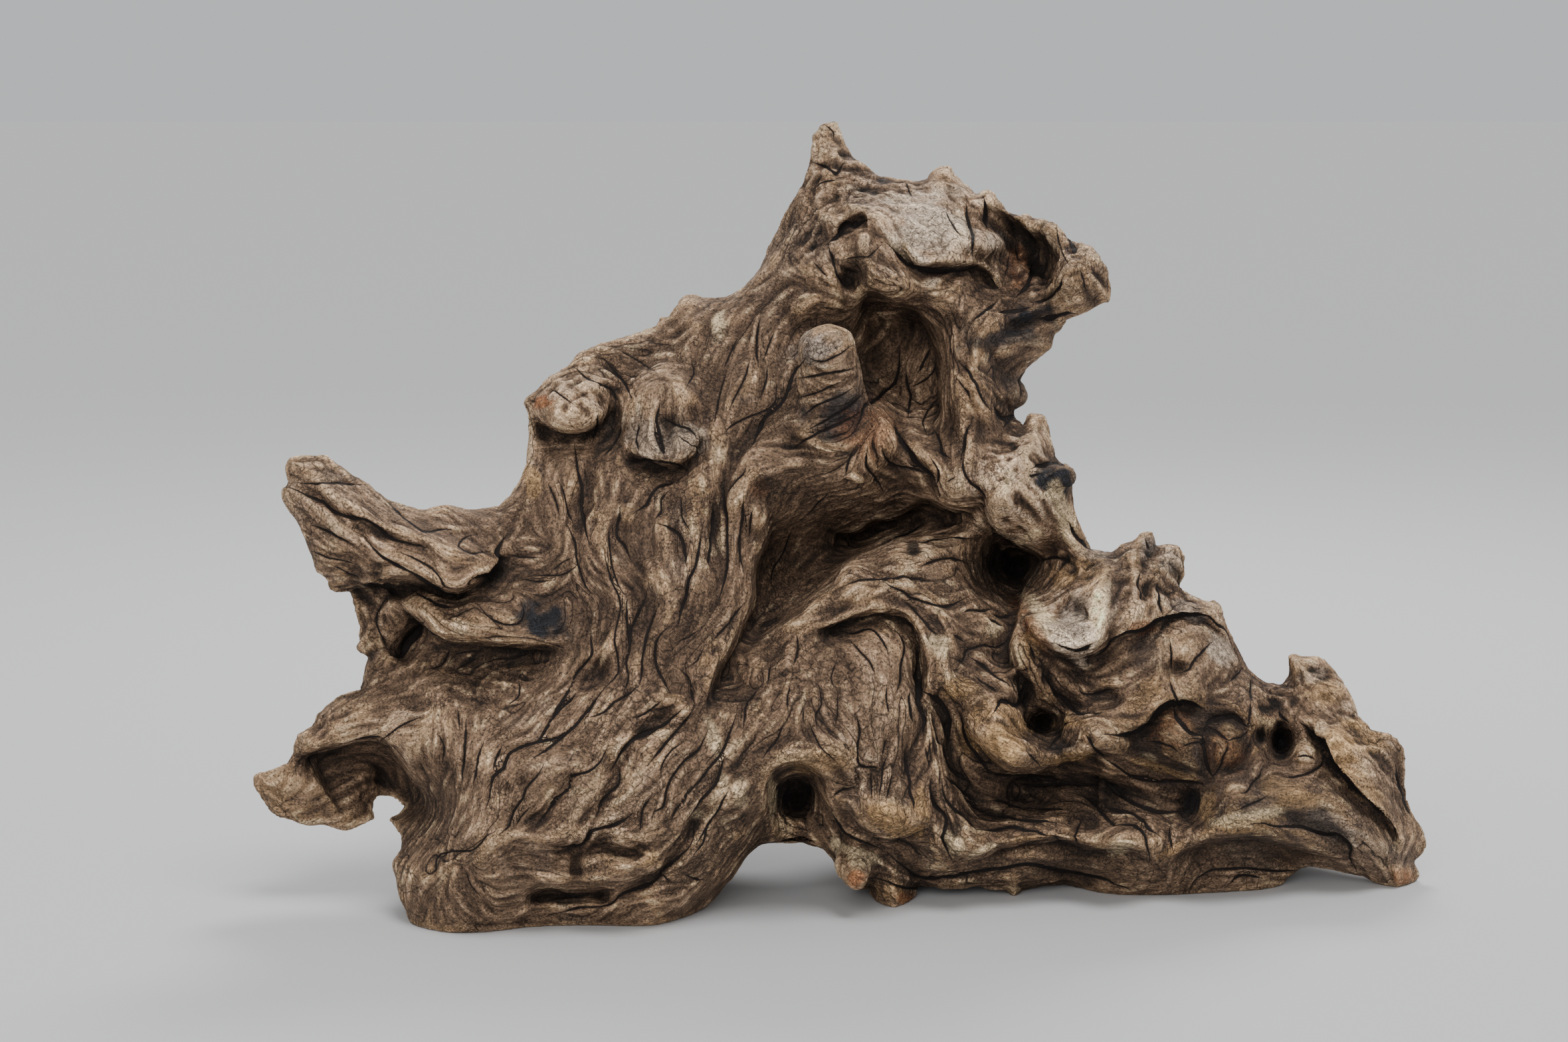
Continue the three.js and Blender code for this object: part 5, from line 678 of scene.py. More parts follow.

# Patches of colour on the front, one over the other: kind, then for each patch across, up, half width,
# half height, turn in degrees, strength. The near-black patches in pits, gaps, recesses and under ledges
# are painted shade.
PATCHES = [
    ("char", [
        [-110, 117, 10, 7, -30, 1.0], [0, 197, 12, 8, 20, 0.9], [83, 171.5, 8, 8, 0, 1.0],
        [69, 232, 9, 5.5, 15, 1.0], [67, 204, 6, 7, 0, 0.6], [62, 224.5, 15, 3.5, 10, 0.8],
        [133, 49, 5, 5, 0, 0.8], [88, 121, 5, 9, 10, 0.75], [115, 106, 7, 6, 0, 0.45],
        [83, 69, 7, 3, 15, 0.5], [168, 45, 6, 3, -15, 0.5],
    ]),
    # Painted shade: near-black patches in pits, gaps and deep recesses and under ledges
    ("painted_shade", [
        [76, 260, 6, 6, 0, 0.6], [-17.5, 52.5, 6, 5, 0, 0.9], [-102, 13, 10, 2, 0, 0.9],
        [-99, 25.5, 1.6, 3.2, 0, 0.4], [62, 138, 12, 9, 0, 0.8], [69.5, 91, 1.7, 6, 0, 0.9],
        [74, 77, 4, 3.5, 0, 0.8], [165.5, 72, 3, 5, 0, 0.9], [158, 74, 1.5, 2.6, 0, 0.9],
        [27.5, 145, 2.2, 2.2, 0, 0.9], [100, 52, 30, 5, -8, 0.35], [150, 28, 25, 4, 0, 0.3],
    ]),
    ("cream", [
        [-46, 229, 3, 6, -10, 1.0], [77.5, 117.5, 11, 3, -53, 0.9], [89, 108.5, 8, 2.5, 8, 0.9],
    ]),
    ("orange", [[73.5, 113, 12, 3, -58, 0.4]]),
    # Painted shadow under the lower lip of the bowl
    ("painted_shade", [[87, 104.5, 11, 2.5, 0, 0.5]]),
    ("cream", [[97.5, 121, 12, 3, 80, 1.0]]),
    ("char", [[99, 136, 3, 8, 10, 0.4]]),
    ("cream", [
        [84, 155, 3.5, 10, 15, 0.7], [76.5, 164.5, 6, 1.5, 0, 0.7], [44, 266, 4, 8, 0, 0.7],
        [24, 257, 6, 3, -40, 0.6],
    ]),
    ("char", [[9, 277, 7, 5, 0, 0.4], [42, 278, 5, 5, 0, 0.4]]),
    ("cream", [
        [-48, 74, 2, 9, 10, 0.6], [-37.5, 53, 2.5, 5, 0, 0.5], [-44, 57, 2, 4, 0, 0.5],
        [-54, 44.5, 2.5, 2, 0, 0.5], [-26, 52, 1.5, 7, 0, 0.5], [37.5, 108, 3.5, 5, 30, 0.7],
        [57, 114, 3, 3, 0, 0.5], [67.5, 105, 3, 4, 0, 0.6], [43, 34, 4, 5, 20, 0.7],
        [53, 31, 6, 1.5, 28, 0.7], [106, 33, 4, 3, 0, 0.6], [5, 31, 9, 2, -20, 0.8],
        [7, 27, 6, 3, -10, 0.7], [150, 43, 14, 2.5, 12, 0.8],
    ]),
    ("char", [[200, 33, 12, 4, -30, 0.4], [155, 52, 12, 3, 10, 0.3]]),
    ("golden", [
        [59, 74, 11, 10, -40, 0.75], [45, 92, 6, 3, 10, 0.7], [85, 66, 11, 2, 8, 0.75],
        [87, 79, 7, 2, 12, 0.6], [18, 43, 9, 4, -20, 0.8], [30, 50, 2.5, 9, 0, 0.7],
        [71, 107, 5, 6, 0, 0.5], [19, 15, 6, 4, 0, 0.5], [70, 36, 10, 1.8, 8, 0.5],
        [138, 46, 3, 8, -15, 0.5], [148, 40, 17, 2.5, 8, 0.5], [125, 32, 8, 2, 35, 0.5],
        [170, 52, 10, 5, -20, 0.45], [188, 71, 6, 8, 0, 0.7], [200, 74, 8, 5, -30, 0.6],
        [196, 56, 10, 3, -45, 0.55], [184, 92, 7, 6, 0, 0.5], [115, 90, 8, 4, 45, 0.4],
        [120, 62, 12, 1.5, -18, 0.5], [-116, 169, 3, 6, 0, 0.7], [-72, 28, 4, 4, 0, 0.6],
        [-8, 65, 10, 5, 0, 0.5], [93, 137, 8, 7, 0, 0.45], [84, 134, 5, 4, 0, 0.45],
    ]),
    ("pale", [
        [34, 266, 15, 13, 0, 0.85], [57, 260, 6, 4, 20, 0.7], [88, 112, 9, 7, 0, 0.8],
        [144, 107, 4, 5, 20, 0.9], [125, 141, 4, 4, 0, 0.6], [180, 98, 6, 4, 0, 0.4],
        [95, 143, 7, 2, 0, 0.5],
    ]),
    ("orange", [[-113, 200, 4, 3, 0, 0.8], [-30, 168, 4, 4, 0, 0.3]]),
    # More painted shade, in two small patches
    ("painted_shade", [[-27, 170, 7, 4, -20, 0.6], [-62, 192, 5, 5, 0, 0.6]]),
    ("pale", [[-75, 186, 6, 8, 10, 0.5], [-60, 184, 8, 5, 20, 0.5]]),
    ("orange", [[12, 190, 9, 11, 30, 0.35]]),
    ("char", [[8, 205, 4, 14, 0, 0.4]]),
    ("orange", [
        [24, 12.5, 5, 3, 0, 0.7], [6, 21, 3.5, 3.5, 0, 0.8], [113, 115, 4, 2, 0, 0.6],
        [124, 77, 8, 6, 0, 0.3], [145, 68, 7, 6, 0, 0.3], [67, 250, 6, 8, 0, 0.4],
        [211, 21, 4, 3, 0, 0.6],
    ]),
    ("grey", [
        [-8, 220, 8, 6, 0, 0.7], [131, 122, 6, 3, -20, 0.5], [116, 146, 2.5, 5, -20, 0.6],
        [185, 40, 12, 5, -30, 0.4],
    ]),
    ("cream", [[72, 150, 7, 1.5, 30, 0.5], [63, 170, 2, 6, -20, 0.5]]),
    ("char", [[102, 122, 3, 8, 0, 0.4], [43, 249, 12, 2, 0, 0.4], [70, 247, 10, 3, -35, 0.4]]),
]

# Lines that the strands follow where nothing else shows their direction
GUIDES = [
    [-60, 200, -66, 170, -64, 140],
    [60, 52, 80, 51, 100, 46],
    [10, 100, 12, 85, 14, 70],
    [150, 35, 170, 30, 190, 26],
    [125, 28, 130, 40, 137, 52],
]

# Broad parts of the front that are paler, or darker where below nought: across, up, half width, half
# height, turn in degrees, change of tone
ZONES = [
    [35, 266, 28, 18, 0, 0.95],
    [88, 119, 13, 16, 0, 1.1],
    [67, 165, 14, 22, 0, 0.9],
    [-90, 203, 28, 15, 25, 0.35],
    [12, 88, 17, 26, 0, 0.45],
    [122, 117, 25, 18, -20, 0.35],
    [195, 72, 18, 16, -30, 0.4],
    [-75, 62, 36, 28, 20, 0.3],
    [-175, 152, 32, 12, -25, 0.2],
    [25, 212, 16, 20, 0, 0.5],
    [22, 150, 34, 14, 20, 0.35],
    [-170, 70, 30, 18, 20, 0.25],
    [60, 78, 14, 14, 0, 0.3],
    [132, 72, 22, 14, 0, -1.15],
    [160, 44, 26, 12, 0, -0.7],
    [56, 214, 9, 14, 0, -0.25],
    [90, 52, 32, 7, -8, -0.1],
    [-70, 135, 26, 34, 0, -0.15],
]

# Zones of small lumps, and zones where the wood is smooth between its cracks: across, up, half width,
# half height, turn in degrees
NUBBLY_ZONES = [
    [66, 168, 13, 22, 0],
    [88, 140, 10, 6, 0],
    [196, 74, 16, 14, -30],
    [182, 94, 10, 10, 0],
    [62, 76, 11, 10, -40],
    [124, 138, 5, 8, 0],
    [-100, 203, 12, 9, 20],
    [53, 210, 6, 12, 0],
    [85, 67, 12, 3, 10],
    [75, 250, 14, 10, 0],
    [165, 88, 8, 8, 0],
    [0, 284, 22, 14, -20],
    [60, 272, 26, 7, -35],
    [90, 250, 12, 14, 0],
    [-8, 262, 8, 14, 0],
    [128, 130, 22, 9, -20],
    [-178, 122, 10, 16, 0],
]
CALM_ZONES = [
    [10, 92, 16, 20, 0],
    [37, 263, 14, 12, 0],
    [25, 212, 14, 18, 0],
    [-20, 140, 12, 20, -30],
    [145, 30, 30, 6, 0],
    [132, 105, 14, 9, 0],
    [-60, 100, 14, 12, 0],
    [-45, 205, 12, 14, 0],
    [-105, 60, 18, 14, 0],
    [178, 48, 14, 8, -20],
    [70, 28, 40, 5, 0],
]

# Colours of the wood, as light reflected in each of red, green and blue
TONES = [
    (-1.8, (0.010, 0.007, 0.005)),
    (-1.0, (0.034, 0.021, 0.014)),
    (-0.4, (0.070, 0.042, 0.026)),
    (0.1, (0.116, 0.071, 0.043)),
    (0.6, (0.190, 0.119, 0.072)),
    (1.2, (0.335, 0.220, 0.140)),
    (2.2, (0.560, 0.410, 0.280)),
]
# Colours mixed into the tint: stains, film and wear (the golden partly a painted highlight), and the
# near-black of the painted shade
COLOURS_MIXED_IN = {
    "char": (0.016, 0.016, 0.019),
    "grey": (0.170, 0.146, 0.130),
    "cream": (0.680, 0.520, 0.320),
    "golden": (0.360, 0.215, 0.095),
    "pale": (0.430, 0.335, 0.250),
    "orange": (0.220, 0.075, 0.024),
    # near-black colour of the painted shade
    "painted_shade": (0.012, 0.008, 0.006),
}

# Reach of a zone and of a patch in its own half sizes, as far as where it is gone
SOFT_RIM = 1.5
PATCH_RIM = 1.3

SEED = 5
rng = np.random.default_rng(SEED)


# Layout and space

def place(u, v, w):
    """Point of the model, in mm, of a point of the layout."""
    scale = 1 + w / SIGHT_DISTANCE
    across = (u - SIGHT_ACROSS) * scale
    up = (v - SIGHT_UP) * scale
    return (
        across + SIGHT_ACROSS,
        up * math.sin(SIGHT_TILT) + w * math.cos(SIGHT_TILT),
        up * math.cos(SIGHT_TILT) - w * math.sin(SIGHT_TILT) + SIGHT_HEIGHT,
    )


def smooth(x, low=0.0, high=1.0):
    """Smooth step from 0 at low to 1 at high."""
    t = np.clip((x - low) / (high - low), 0, 1)
    return t * t * (3 - 2 * t)


U = np.arange(LOW_CORNER[0], HIGH_CORNER[0] + 0.01, CELL)
V = np.arange(LOW_CORNER[1], HIGH_CORNER[1] + 0.01, CELL)
W = np.arange(LOW_CORNER[2], HIGH_CORNER[2] + 0.01, CELL)
UU, VV = np.meshgrid(U, V)


def sample(sheet, x, y, cell, low_x, low_y):
    """Values of a sheet of numbers at places between its nodes."""
    rows, columns = sheet.shape[:2]
    fx = np.clip((x - low_x) / cell, 0, columns - 1.001)
    fy = np.clip((y - low_y) / cell, 0, rows - 1.001)
    i = fx.astype(int)
    j = fy.astype(int)
    fx = fx - i
    fy = fy - j
    if sheet.ndim == 3:
        fx = fx[..., None]
        fy = fy[..., None]
    lower = sheet[j, i] * (1 - fx) + sheet[j, i + 1] * fx
    upper = sheet[j + 1, i] * (1 - fx) + sheet[j + 1, i + 1] * fx
    return lower * (1 - fy) + upper * fy


def blurred(sheet, reach):
    """A sheet of numbers, blurred over a reach in nodes."""
    rows, columns = sheet.shape
    fy = np.fft.fftfreq(rows)[:, None]
    fx = np.fft.rfftfreq(columns)[None, :]
    low_pass = np.exp(-2 * (math.pi * reach) ** 2 * (fx ** 2 + fy ** 2))
    return np.fft.irfft2(np.fft.rfft2(sheet) * low_pass, sheet.shape)


def even(sheet):
    """The sheet with a mean of 0 and a spread of 1."""
    return (sheet - sheet.mean()) / sheet.std()


# Form of the wood

def thin_plate(points):
    """Smooth sheet through points [u, v, value], bent as a thin plate is."""
    spots = np.array(points, float)
    count = len(spots)

    def bend(square):
        return np.where(square > 0, square * np.log(np.maximum(square, 1e-12)), 0)

    rows = np.zeros((count + 3, count + 3))
    gaps = spots[:, None, :2] - spots[None, :, :2]
    rows[:count, :count] = bend((gaps ** 2).sum(2))
    for k, column in enumerate((np.ones(count), spots[:, 0], spots[:, 1])):
        rows[:count, count + k] = column
        rows[count + k, :count] = column
    values = np.concatenate([spots[:, 2], np.zeros(3)])
    weights = np.linalg.solve(rows, values)
    step = 3.0
    low_u = LOW_CORNER[0] - step
    low_v = LOW_CORNER[1] - step
    uu, vv = np.meshgrid(np.arange(low_u, HIGH_CORNER[0] + 2 * step, step),
                         np.arange(low_v, HIGH_CORNER[1] + 2 * step, step))
    sheet = weights[count] + weights[count + 1] * uu + weights[count + 2] * vv
    for (u, v, _), weight in zip(spots, weights):
        sheet += weight * bend((uu - u) ** 2 + (vv - v) ** 2)
    return sample(sheet, UU, VV, step, low_u, low_v)


def along_line(points, u, v):
    """Distance of places from a line's points, the side of it (1 to its left), and the share of its
    length to the nearer end."""
    nearest = np.full(u.shape, 1e9)
    side = np.ones(u.shape)
    passed = np.zeros(u.shape)
    count = len(points) - 1
    for i in range(count):
        au, av = points[i]
        du, dv = points[i + 1] - points[i]
        along = np.clip(((u - au) * du + (v - av) * dv) / (du * du + dv * dv), 0, 1)
        square = (u - au - along * du) ** 2 + (v - av - along * dv) ** 2
        closer = square < nearest
        nearest[closer] = square[closer]
        side[closer] = np.where(du * (v - av) - dv * (u - au) >= 0, 1, -1)[closer]
        passed[closer] = (i + along[closer]) / count
    return np.sqrt(nearest), side, np.minimum(passed, 1 - passed)


CLOSED_OUTLINE = OUTLINE + OUTLINE[:1]


def outline_distance():
    """Distance from the outline at each node, above nought inside."""
    ring = np.array(CLOSED_OUTLINE, float)
    inside = np.zeros(UU.shape, bool)
    for (au, av), (bu, bv) in zip(ring, ring[1:]):
        if av != bv:
            crossed = (av > VV) != (bv > VV)
            inside ^= crossed & (UU < au + (VV - av) / (bv - av) * (bu - au))
    return np.where(inside, 1, -1) * along_line(ring, UU, VV)[0]


def curved(line, step=2.0):
    """Points of a smooth curve through a line's corners."""
    corners = np.array(line, float)
    ends = np.vstack([2 * corners[0] - corners[1], corners, 2 * corners[-1] - corners[-2]])
    points = []
    for a, b, c, d in zip(ends, ends[1:], ends[2:], ends[3:]):
        count = max(2, int(np.hypot(*(c - b)) / step))
        for t in np.arange(count) / count:
            bent = 2 * b + (c - a) * t + (2 * a - 5 * b + 4 * c - d) * t ** 2
            points.append(0.5 * (bent + (3 * b - a - 3 * c + d) * t ** 3))
    points.append(corners[-1])
    return np.array(points)


def near_line(line, width):
    """Window of the nodes round a line, with the distance there from it, the side (1 to its left), and a
    factor that fades at its ends."""
    points = curved(line)
    low = points.min(0) - BELL_REACH * width
    high = points.max(0) + BELL_REACH * width
    i0, i1 = np.searchsorted(U, [low[0], high[0]])
    j0, j1 = np.searchsorted(V, [low[1], high[1]])
    window = (slice(j0, j1), slice(i0, i1))
    distance, side, from_end = along_line(points, UU[window], VV[window])
    return window, distance, side, smooth(from_end, 0, LINE_FADE)


def pairs(values):
    """Corners of a line from a row of numbers, across and up in turn."""
    return [list(corner) for corner in zip(values[::2], values[1::2])]


def bell(x):
    """Bell curve with a height of 1."""
    return np.exp(-x * x)


def spot(across, up, u, v, half_width, half_height, turn):
    """Distance from the middle of an oval, in its own half sizes."""
    angle = math.radians(turn)
    du = across - u
    dv = up - v
    x = (du * math.cos(angle) + dv * math.sin(angle)) / half_width
    y = (dv * math.cos(angle) - du * math.sin(angle)) / half_height
    return np.hypot(x, y)


def blend(weights, parts):
    """Sum of some parts, each by its weight."""
    return sum(weight * part for weight, part in zip(weights, parts))


def relief(steps, ridges, knobs):
    """How far the steps, ridges and knobs raise the surface at each node."""
    raised = np.zeros(UU.shape)
    for lift, drop, lift_reach, drop_reach, line in steps:
        window, distance, side, fade = near_line(line, max(lift_reach, drop_reach))
        above = smooth(side * distance, -STEP_RUN, STEP_RUN)
        high = above * lift * bell(distance / lift_reach)
        low = (1 - above) * drop * bell(distance / drop_reach)
        raised[window] += fade * (high - low)
    for height, width, line in ridges:
        window, distance, side, fade = near_line(line, width)
        raised[window] += fade * height * bell(distance / width)
    for *oval, height in knobs:
        raised += height * np.exp(-spot(UU, VV, *oval) ** 3)
    return raised


def edge_share(distance, round_size):
    """Share of the full thickness that is left at a distance from the outline."""
    inward = distance / round_size
    rounded = np.sqrt(np.clip(1 - (1 - np.clip(inward, 0, 1)) ** 2, 0, 1))
    return np.where(inward > 0, rounded, inward / EDGE_FALL)


def soft_max(a, b, blend):
    """Smooth largest of two depths."""
    mix = np.maximum(blend - np.abs(a - b), 0) / blend
    return np.maximum(a, b) + mix * mix * blend / 4


def stub_depth(stub, u, v, w):
    """Depth below the skin of a tapered stub, below nought outside."""
    start, start_radius, end, end_radius = stub
    axis = np.subtract(end, start)
    offsets = (u - start[0], v - start[1], w - start[2])
    along = sum(offset * part for offset, part in zip(offsets, axis)) / (axis @ axis)
    along = np.clip(along, 0, 1)
    gap = np.sqrt(sum((offset - along * part) ** 2 for offset, part in zip(offsets, axis)))
    return start_radius + along * (end_radius - start_radius) - gap


def depth_inside(front, back):
    """Depth below the skin at each node of the layout: rows up, across, away."""
    w = W[None, None, :].astype(np.float32)
    depth = np.minimum(w - front[:, :, None].astype(np.float32),
                       back[:, :, None].astype(np.float32) - w)
    for stub in STUBS:
        start, start_radius, end, end_radius = stub
        reach = max(start_radius, end_radius) + STUB_BLEND
        ranges = []
        for values, k in ((V, 1), (U, 0), (W, 2)):
            low = min(start[k], end[k]) - reach
            high = max(start[k], end[k]) + reach
            ranges.append(slice(*np.searchsorted(values, [low, high])))
        vv, uu, ww = np.meshgrid(V[ranges[0]], U[ranges[1]], W[ranges[2]], indexing="ij")
        window = tuple(ranges)
        depth[window] = soft_max(depth[window], stub_depth(stub, uu, vv, ww), STUB_BLEND)
    rows = slice(0, int(np.searchsorted(V, VAULTS_TOP)))
    vv, uu, ww = np.meshgrid(V[rows], U, W, indexing="ij")
    x, y, z = place(uu, vv, ww)
    low_part = depth[rows]
    for mx, my, mz, rx, ry, rz in VAULTS:
        near = (np.abs(x - mx) < rx + VAULT_MARGIN) & (np.abs(y - my) < ry + VAULT_MARGIN)
        near &= z < mz + rz + VAULT_MARGIN
        reach = np.sqrt(((x[near] - mx) / rx) ** 2 + ((y[near] - my) / ry) ** 2
                        + ((z[near] - mz) / rz) ** 2)
        vault = (1 - reach) * min(rx, ry, rz)
        low_part[near] = -soft_max(-low_part[near], vault, VAULT_BLEND)
    depth[rows] = np.minimum(low_part, z)
    for axis in range(3):
        ends = [slice(None)] * 3
        ends[axis] = [0, -1]
        depth[tuple(ends)] = -CELL
    return depth


# Skin of the wood

CORNERS = [(j, i, k) for j in (0, 1) for i in (0, 1) for k in (0, 1)]


def skin(depth):
    """Points and four-sided faces of the surface where the depth is nought."""
    inside = depth > 0
    rows, columns, layers = (n - 1 for n in depth.shape)
    count = np.zeros((rows, columns, layers), np.uint8)
    for j, i, k in CORNERS:
        count += inside[j:rows + j, i:columns + i, k:layers + k]
    cells = np.flatnonzero((count > 0) & (count < 8))
    del count
    cj, ci, ck = np.unravel_index(cells, (rows, columns, layers))
    total = np.zeros((len(cells), 3))
    crossings = np.zeros(len(cells))
    values = [depth[cj + j, ci + i, ck + k] for j, i, k in CORNERS]
    for a, low in enumerate(CORNERS):
        for b, high in enumerate(CORNERS):
            step = np.subtract(high, low)
            if step.sum() != 1 or np.abs(step).sum() != 1:
                continue
            crossed = (values[a] > 0) != (values[b] > 0)
            gap = np.where(crossed, values[a] - values[b], 1)
            share = np.where(crossed, values[a] / gap, 0)
            for axis in range(3):
                total[:, axis] += crossed * (low[axis] + share * step[axis])
            crossings += crossed
    places = total / crossings[:, None] + np.stack([cj, ci, ck], 1)
    points = np.stack([U[0] + CELL * places[:, 1], V[0] + CELL * places[:, 0],
                       W[0] + CELL * places[:, 2]], 1)
    faces = []
    strides = (columns * layers, layers, 1)
    for axis in range(3):
        before = [slice(None)] * 3
        after = [slice(None)] * 3
        before[axis] = slice(None, -1)
        after[axis] = slice(1, None)
        changes = inside[tuple(before)] != inside[tuple(after)]
        ej, ei, ek = np.nonzero(changes)
        rising = inside[ej, ei, ek]
        base = ej * strides[0] + ei * strides[1] + ek * strides[2]
        one, two = [strides[n] for n in range(3) if n != axis]
        ring = np.stack([base - one - two, base - two, base, base - one], 1)
        corners = np.searchsorted(cells, ring)
        flip = rising if axis != 1 else ~rising
        corners[flip] = corners[flip][:, ::-1]
        faces.append(corners)
    return points, np.concatenate(faces)


def largest_body(points, faces):
    """The points and faces of the largest body alone."""
    a = faces.ravel()
    b = np.roll(faces, -1, 1).ravel()
    label = np.arange(len(points))
    while True:
        lower = label.copy()
        np.minimum.at(lower, a, label[b])
        np.minimum.at(lower, b, label[a])
        lower = lower[lower]
        if (lower == label).all():
            break
        label = lower
    names, counts = np.unique(label, return_counts=True)
    kept = label == names[counts.argmax()]
    order = np.cumsum(kept) - 1
    return points[kept], order[faces[kept[faces[:, 0]]]]


class Skin:
    """Neighbours and directions of a surface's points."""

    def __init__(self, points, faces):
        self.faces = faces
        self.count = len(points)
        a = faces.ravel()
        b = np.roll(faces, -1, 1).ravel()
        once = a < b
        self.a = a[once]
        self.b = b[once]
        self.degree = self.sums(np.ones(self.count))

    def sums(self, values):
        """Sum of a value over each point's neighbours."""
        total = np.bincount(self.a, values[self.b], self.count)
        return total + np.bincount(self.b, values[self.a], self.count)

    def smoothed(self, values, rounds, share):
        """Values drawn towards their neighbours, round by round."""
        values = np.array(values, float)
        columns = [values] if values.ndim == 1 else list(values.T)
        for _ in range(rounds):
            columns = [c + share * (self.sums(c) / self.degree - c) for c in columns]
        return columns[0] if values.ndim == 1 else np.stack(columns, 1)

    def normals(self, points):
        """Outward direction at each point."""
        p = points[self.faces]
        across = np.cross(p[:, 2] - p[:, 0], p[:, 3] - p[:, 1])
        total = np.zeros((self.count, 3))
        for corner in range(4):
            for k in range(3):
                total[:, k] += np.bincount(self.faces[:, corner], across[:, k], self.count)
        return total / np.maximum(np.linalg.norm(total, axis=1), 1e-12)[:, None]


# Grain: noise drawn out along the direction of the wood's strands

# Width and half length of the strands of each sheet, mm. The last sheet sets out the fissures.
STRANDS = [(4.6, 20.0), (2.2, 12.0), (1.1, 6.0), (4.2, 24.0)]

# Width of the wavers in the strands' direction, mm, and how far they turn it, in radians
WAVERS = [(16.0, 0.45), (5.0, 0.22)]

# Spacing of the field of directions, mm, and how a line's pull eases off near it and falls with distance
FLOW_STEP = 4.0
FLOW_EASE = 9.0
FLOW_FALL = 1.7

# Pull of the steps and ridges, of the cracks and painted shadow lines, of the guides, and of the outline
# on the front and the back
LINE_PULL = 1.0
CRACK_PULL = 1.2
GUIDE_PULL = 1.6
FRONT_EDGE_PULL = 0.35
BACK_EDGE_PULL = 0.6


def flow(lines, across, up):
    """Direction of the strands at each node, as the cosine and sine of twice its angle."""
    gu = np.arange(LOW_CORNER[0], HIGH_CORNER[0] + FLOW_STEP, FLOW_STEP)
    gv = np.arange(LOW_CORNER[1], HIGH_CORNER[1] + FLOW_STEP, FLOW_STEP)
    uu, vv = np.meshgrid(gu, gv)
    total = np.zeros(uu.shape + (2,))
    for weight, line in lines:
        points = curved(line, FLOW_STEP)
        middles = (points[1:] + points[:-1]) / 2
        turns = np.diff(points, axis=0)
        lengths = np.hypot(*turns.T)
        double = 2 * np.arctan2(turns[:, 1], turns[:, 0])
        for (u, v), length, angle in zip(middles, lengths, double):
            near = weight * length / ((uu - u) ** 2 + (vv - v) ** 2 + FLOW_EASE) ** FLOW_FALL
            total[..., 0] += near * math.cos(angle)
            total[..., 1] += near * math.sin(angle)
    total /= np.maximum(np.linalg.norm(total, axis=2, keepdims=True), 1e-12)
    drawn = sample(total, across, up, FLOW_STEP, gu[0], gv[0])
    return drawn[..., 0], drawn[..., 1]


def drawn_out(double_cos, double_sin, noise, reach):
    """The noise, averaged along the strands over a reach in nodes to both sides."""
    rows, columns = noise.shape
    angle = np.arctan2(double_sin, double_cos) / 2
    along_x = np.cos(angle).astype(np.float32)
    along_y = np.sin(angle).astype(np.float32)
    noise = noise.astype(np.float32)
    total = noise.copy()
    start_y, start_x = np.mgrid[0:rows, 0:columns].astype(np.float32)
    for sign in (1, -1):
        x = start_x.copy()
        y = start_y.copy()
        dx = sign * along_x
        dy = sign * along_y
        for n in range(reach):
            x += dx
            y += dy
            i = np.clip(np.rint(x), 0, columns - 1).astype(np.int32)
            j = np.clip(np.rint(y), 0, rows - 1).astype(np.int32)
            nx = along_x[j, i]
            ny = along_y[j, i]
            turned = np.where(nx * dx + ny * dy < 0, -1, 1).astype(np.float32)
            dx = nx * turned
            dy = ny * turned
            total += noise[j, i] * (0.5 + 0.5 * math.cos(math.pi * (n + 1) / (reach + 1)))
    return even(total)


def noise_sheet(shape, size):
    """Even noise whose lumps have a size in nodes."""
    return even(blurred(rng.standard_normal(shape), size / 2.5))


class Grain:
    """Strands, fibres and fissures over one side of the layout."""

    def __init__(self, low, high, directions):
        """Draws the sheets out along the directions over a rectangle of the layout."""
        self.low = low
        gu = np.arange(low[0], high[0] + GRAIN_CELL, GRAIN_CELL)
        gv = np.arange(low[1], high[1] + GRAIN_CELL, GRAIN_CELL)
        across, up = np.meshgrid(gu, gv)
        double_cos, double_sin = directions(across, up)
        shape = across.shape
        waver = sum(turn * noise_sheet(shape, size / GRAIN_CELL) for size, turn in WAVERS)
        turned = np.arctan2(double_sin, double_cos) + waver
        double_cos = np.cos(turned)
        double_sin = np.sin(turned)
        self.sheets = []
        for size, reach in STRANDS:
            noise = noise_sheet(shape, size / GRAIN_CELL)
            self.sheets.append(drawn_out(double_cos, double_sin, noise, int(reach / GRAIN_CELL)))
        self.sheets = np.stack(self.sheets, 2)

    def at(self, x, y):
        """Values of the sheets at places on that side."""
        return sample(self.sheets, x, y, GRAIN_CELL, *self.low)


def front_directions(across, up):
    """Directions of the strands on the front."""
    lines = [(LINE_PULL, line) for *_, line in FRONT_STEPS + FRONT_RIDGES]
    lines += [(CRACK_PULL, pairs(values)) for _, *values in CRACKS_AND_SHADOW_LINES]
    lines += [(GUIDE_PULL, pairs(values)) for values in GUIDES]
    return flow(lines + [(FRONT_EDGE_PULL, CLOSED_OUTLINE)], across, up)


def back_directions(across, up):
    """Directions of the strands on the back."""
    lines = [(LINE_PULL, line) for *_, line in BACK_STEPS + BACK_RIDGES]
    return flow(lines + [(BACK_EDGE_PULL, CLOSED_OUTLINE)], across, up)


def upright(across, up):
    """Directions of strands that all run up."""
    return -np.ones(across.shape), np.zeros(across.shape)


def lengthwise(across, up):
    """Directions of strands that all run across."""
    return np.ones(across.shape), np.zeros(across.shape)


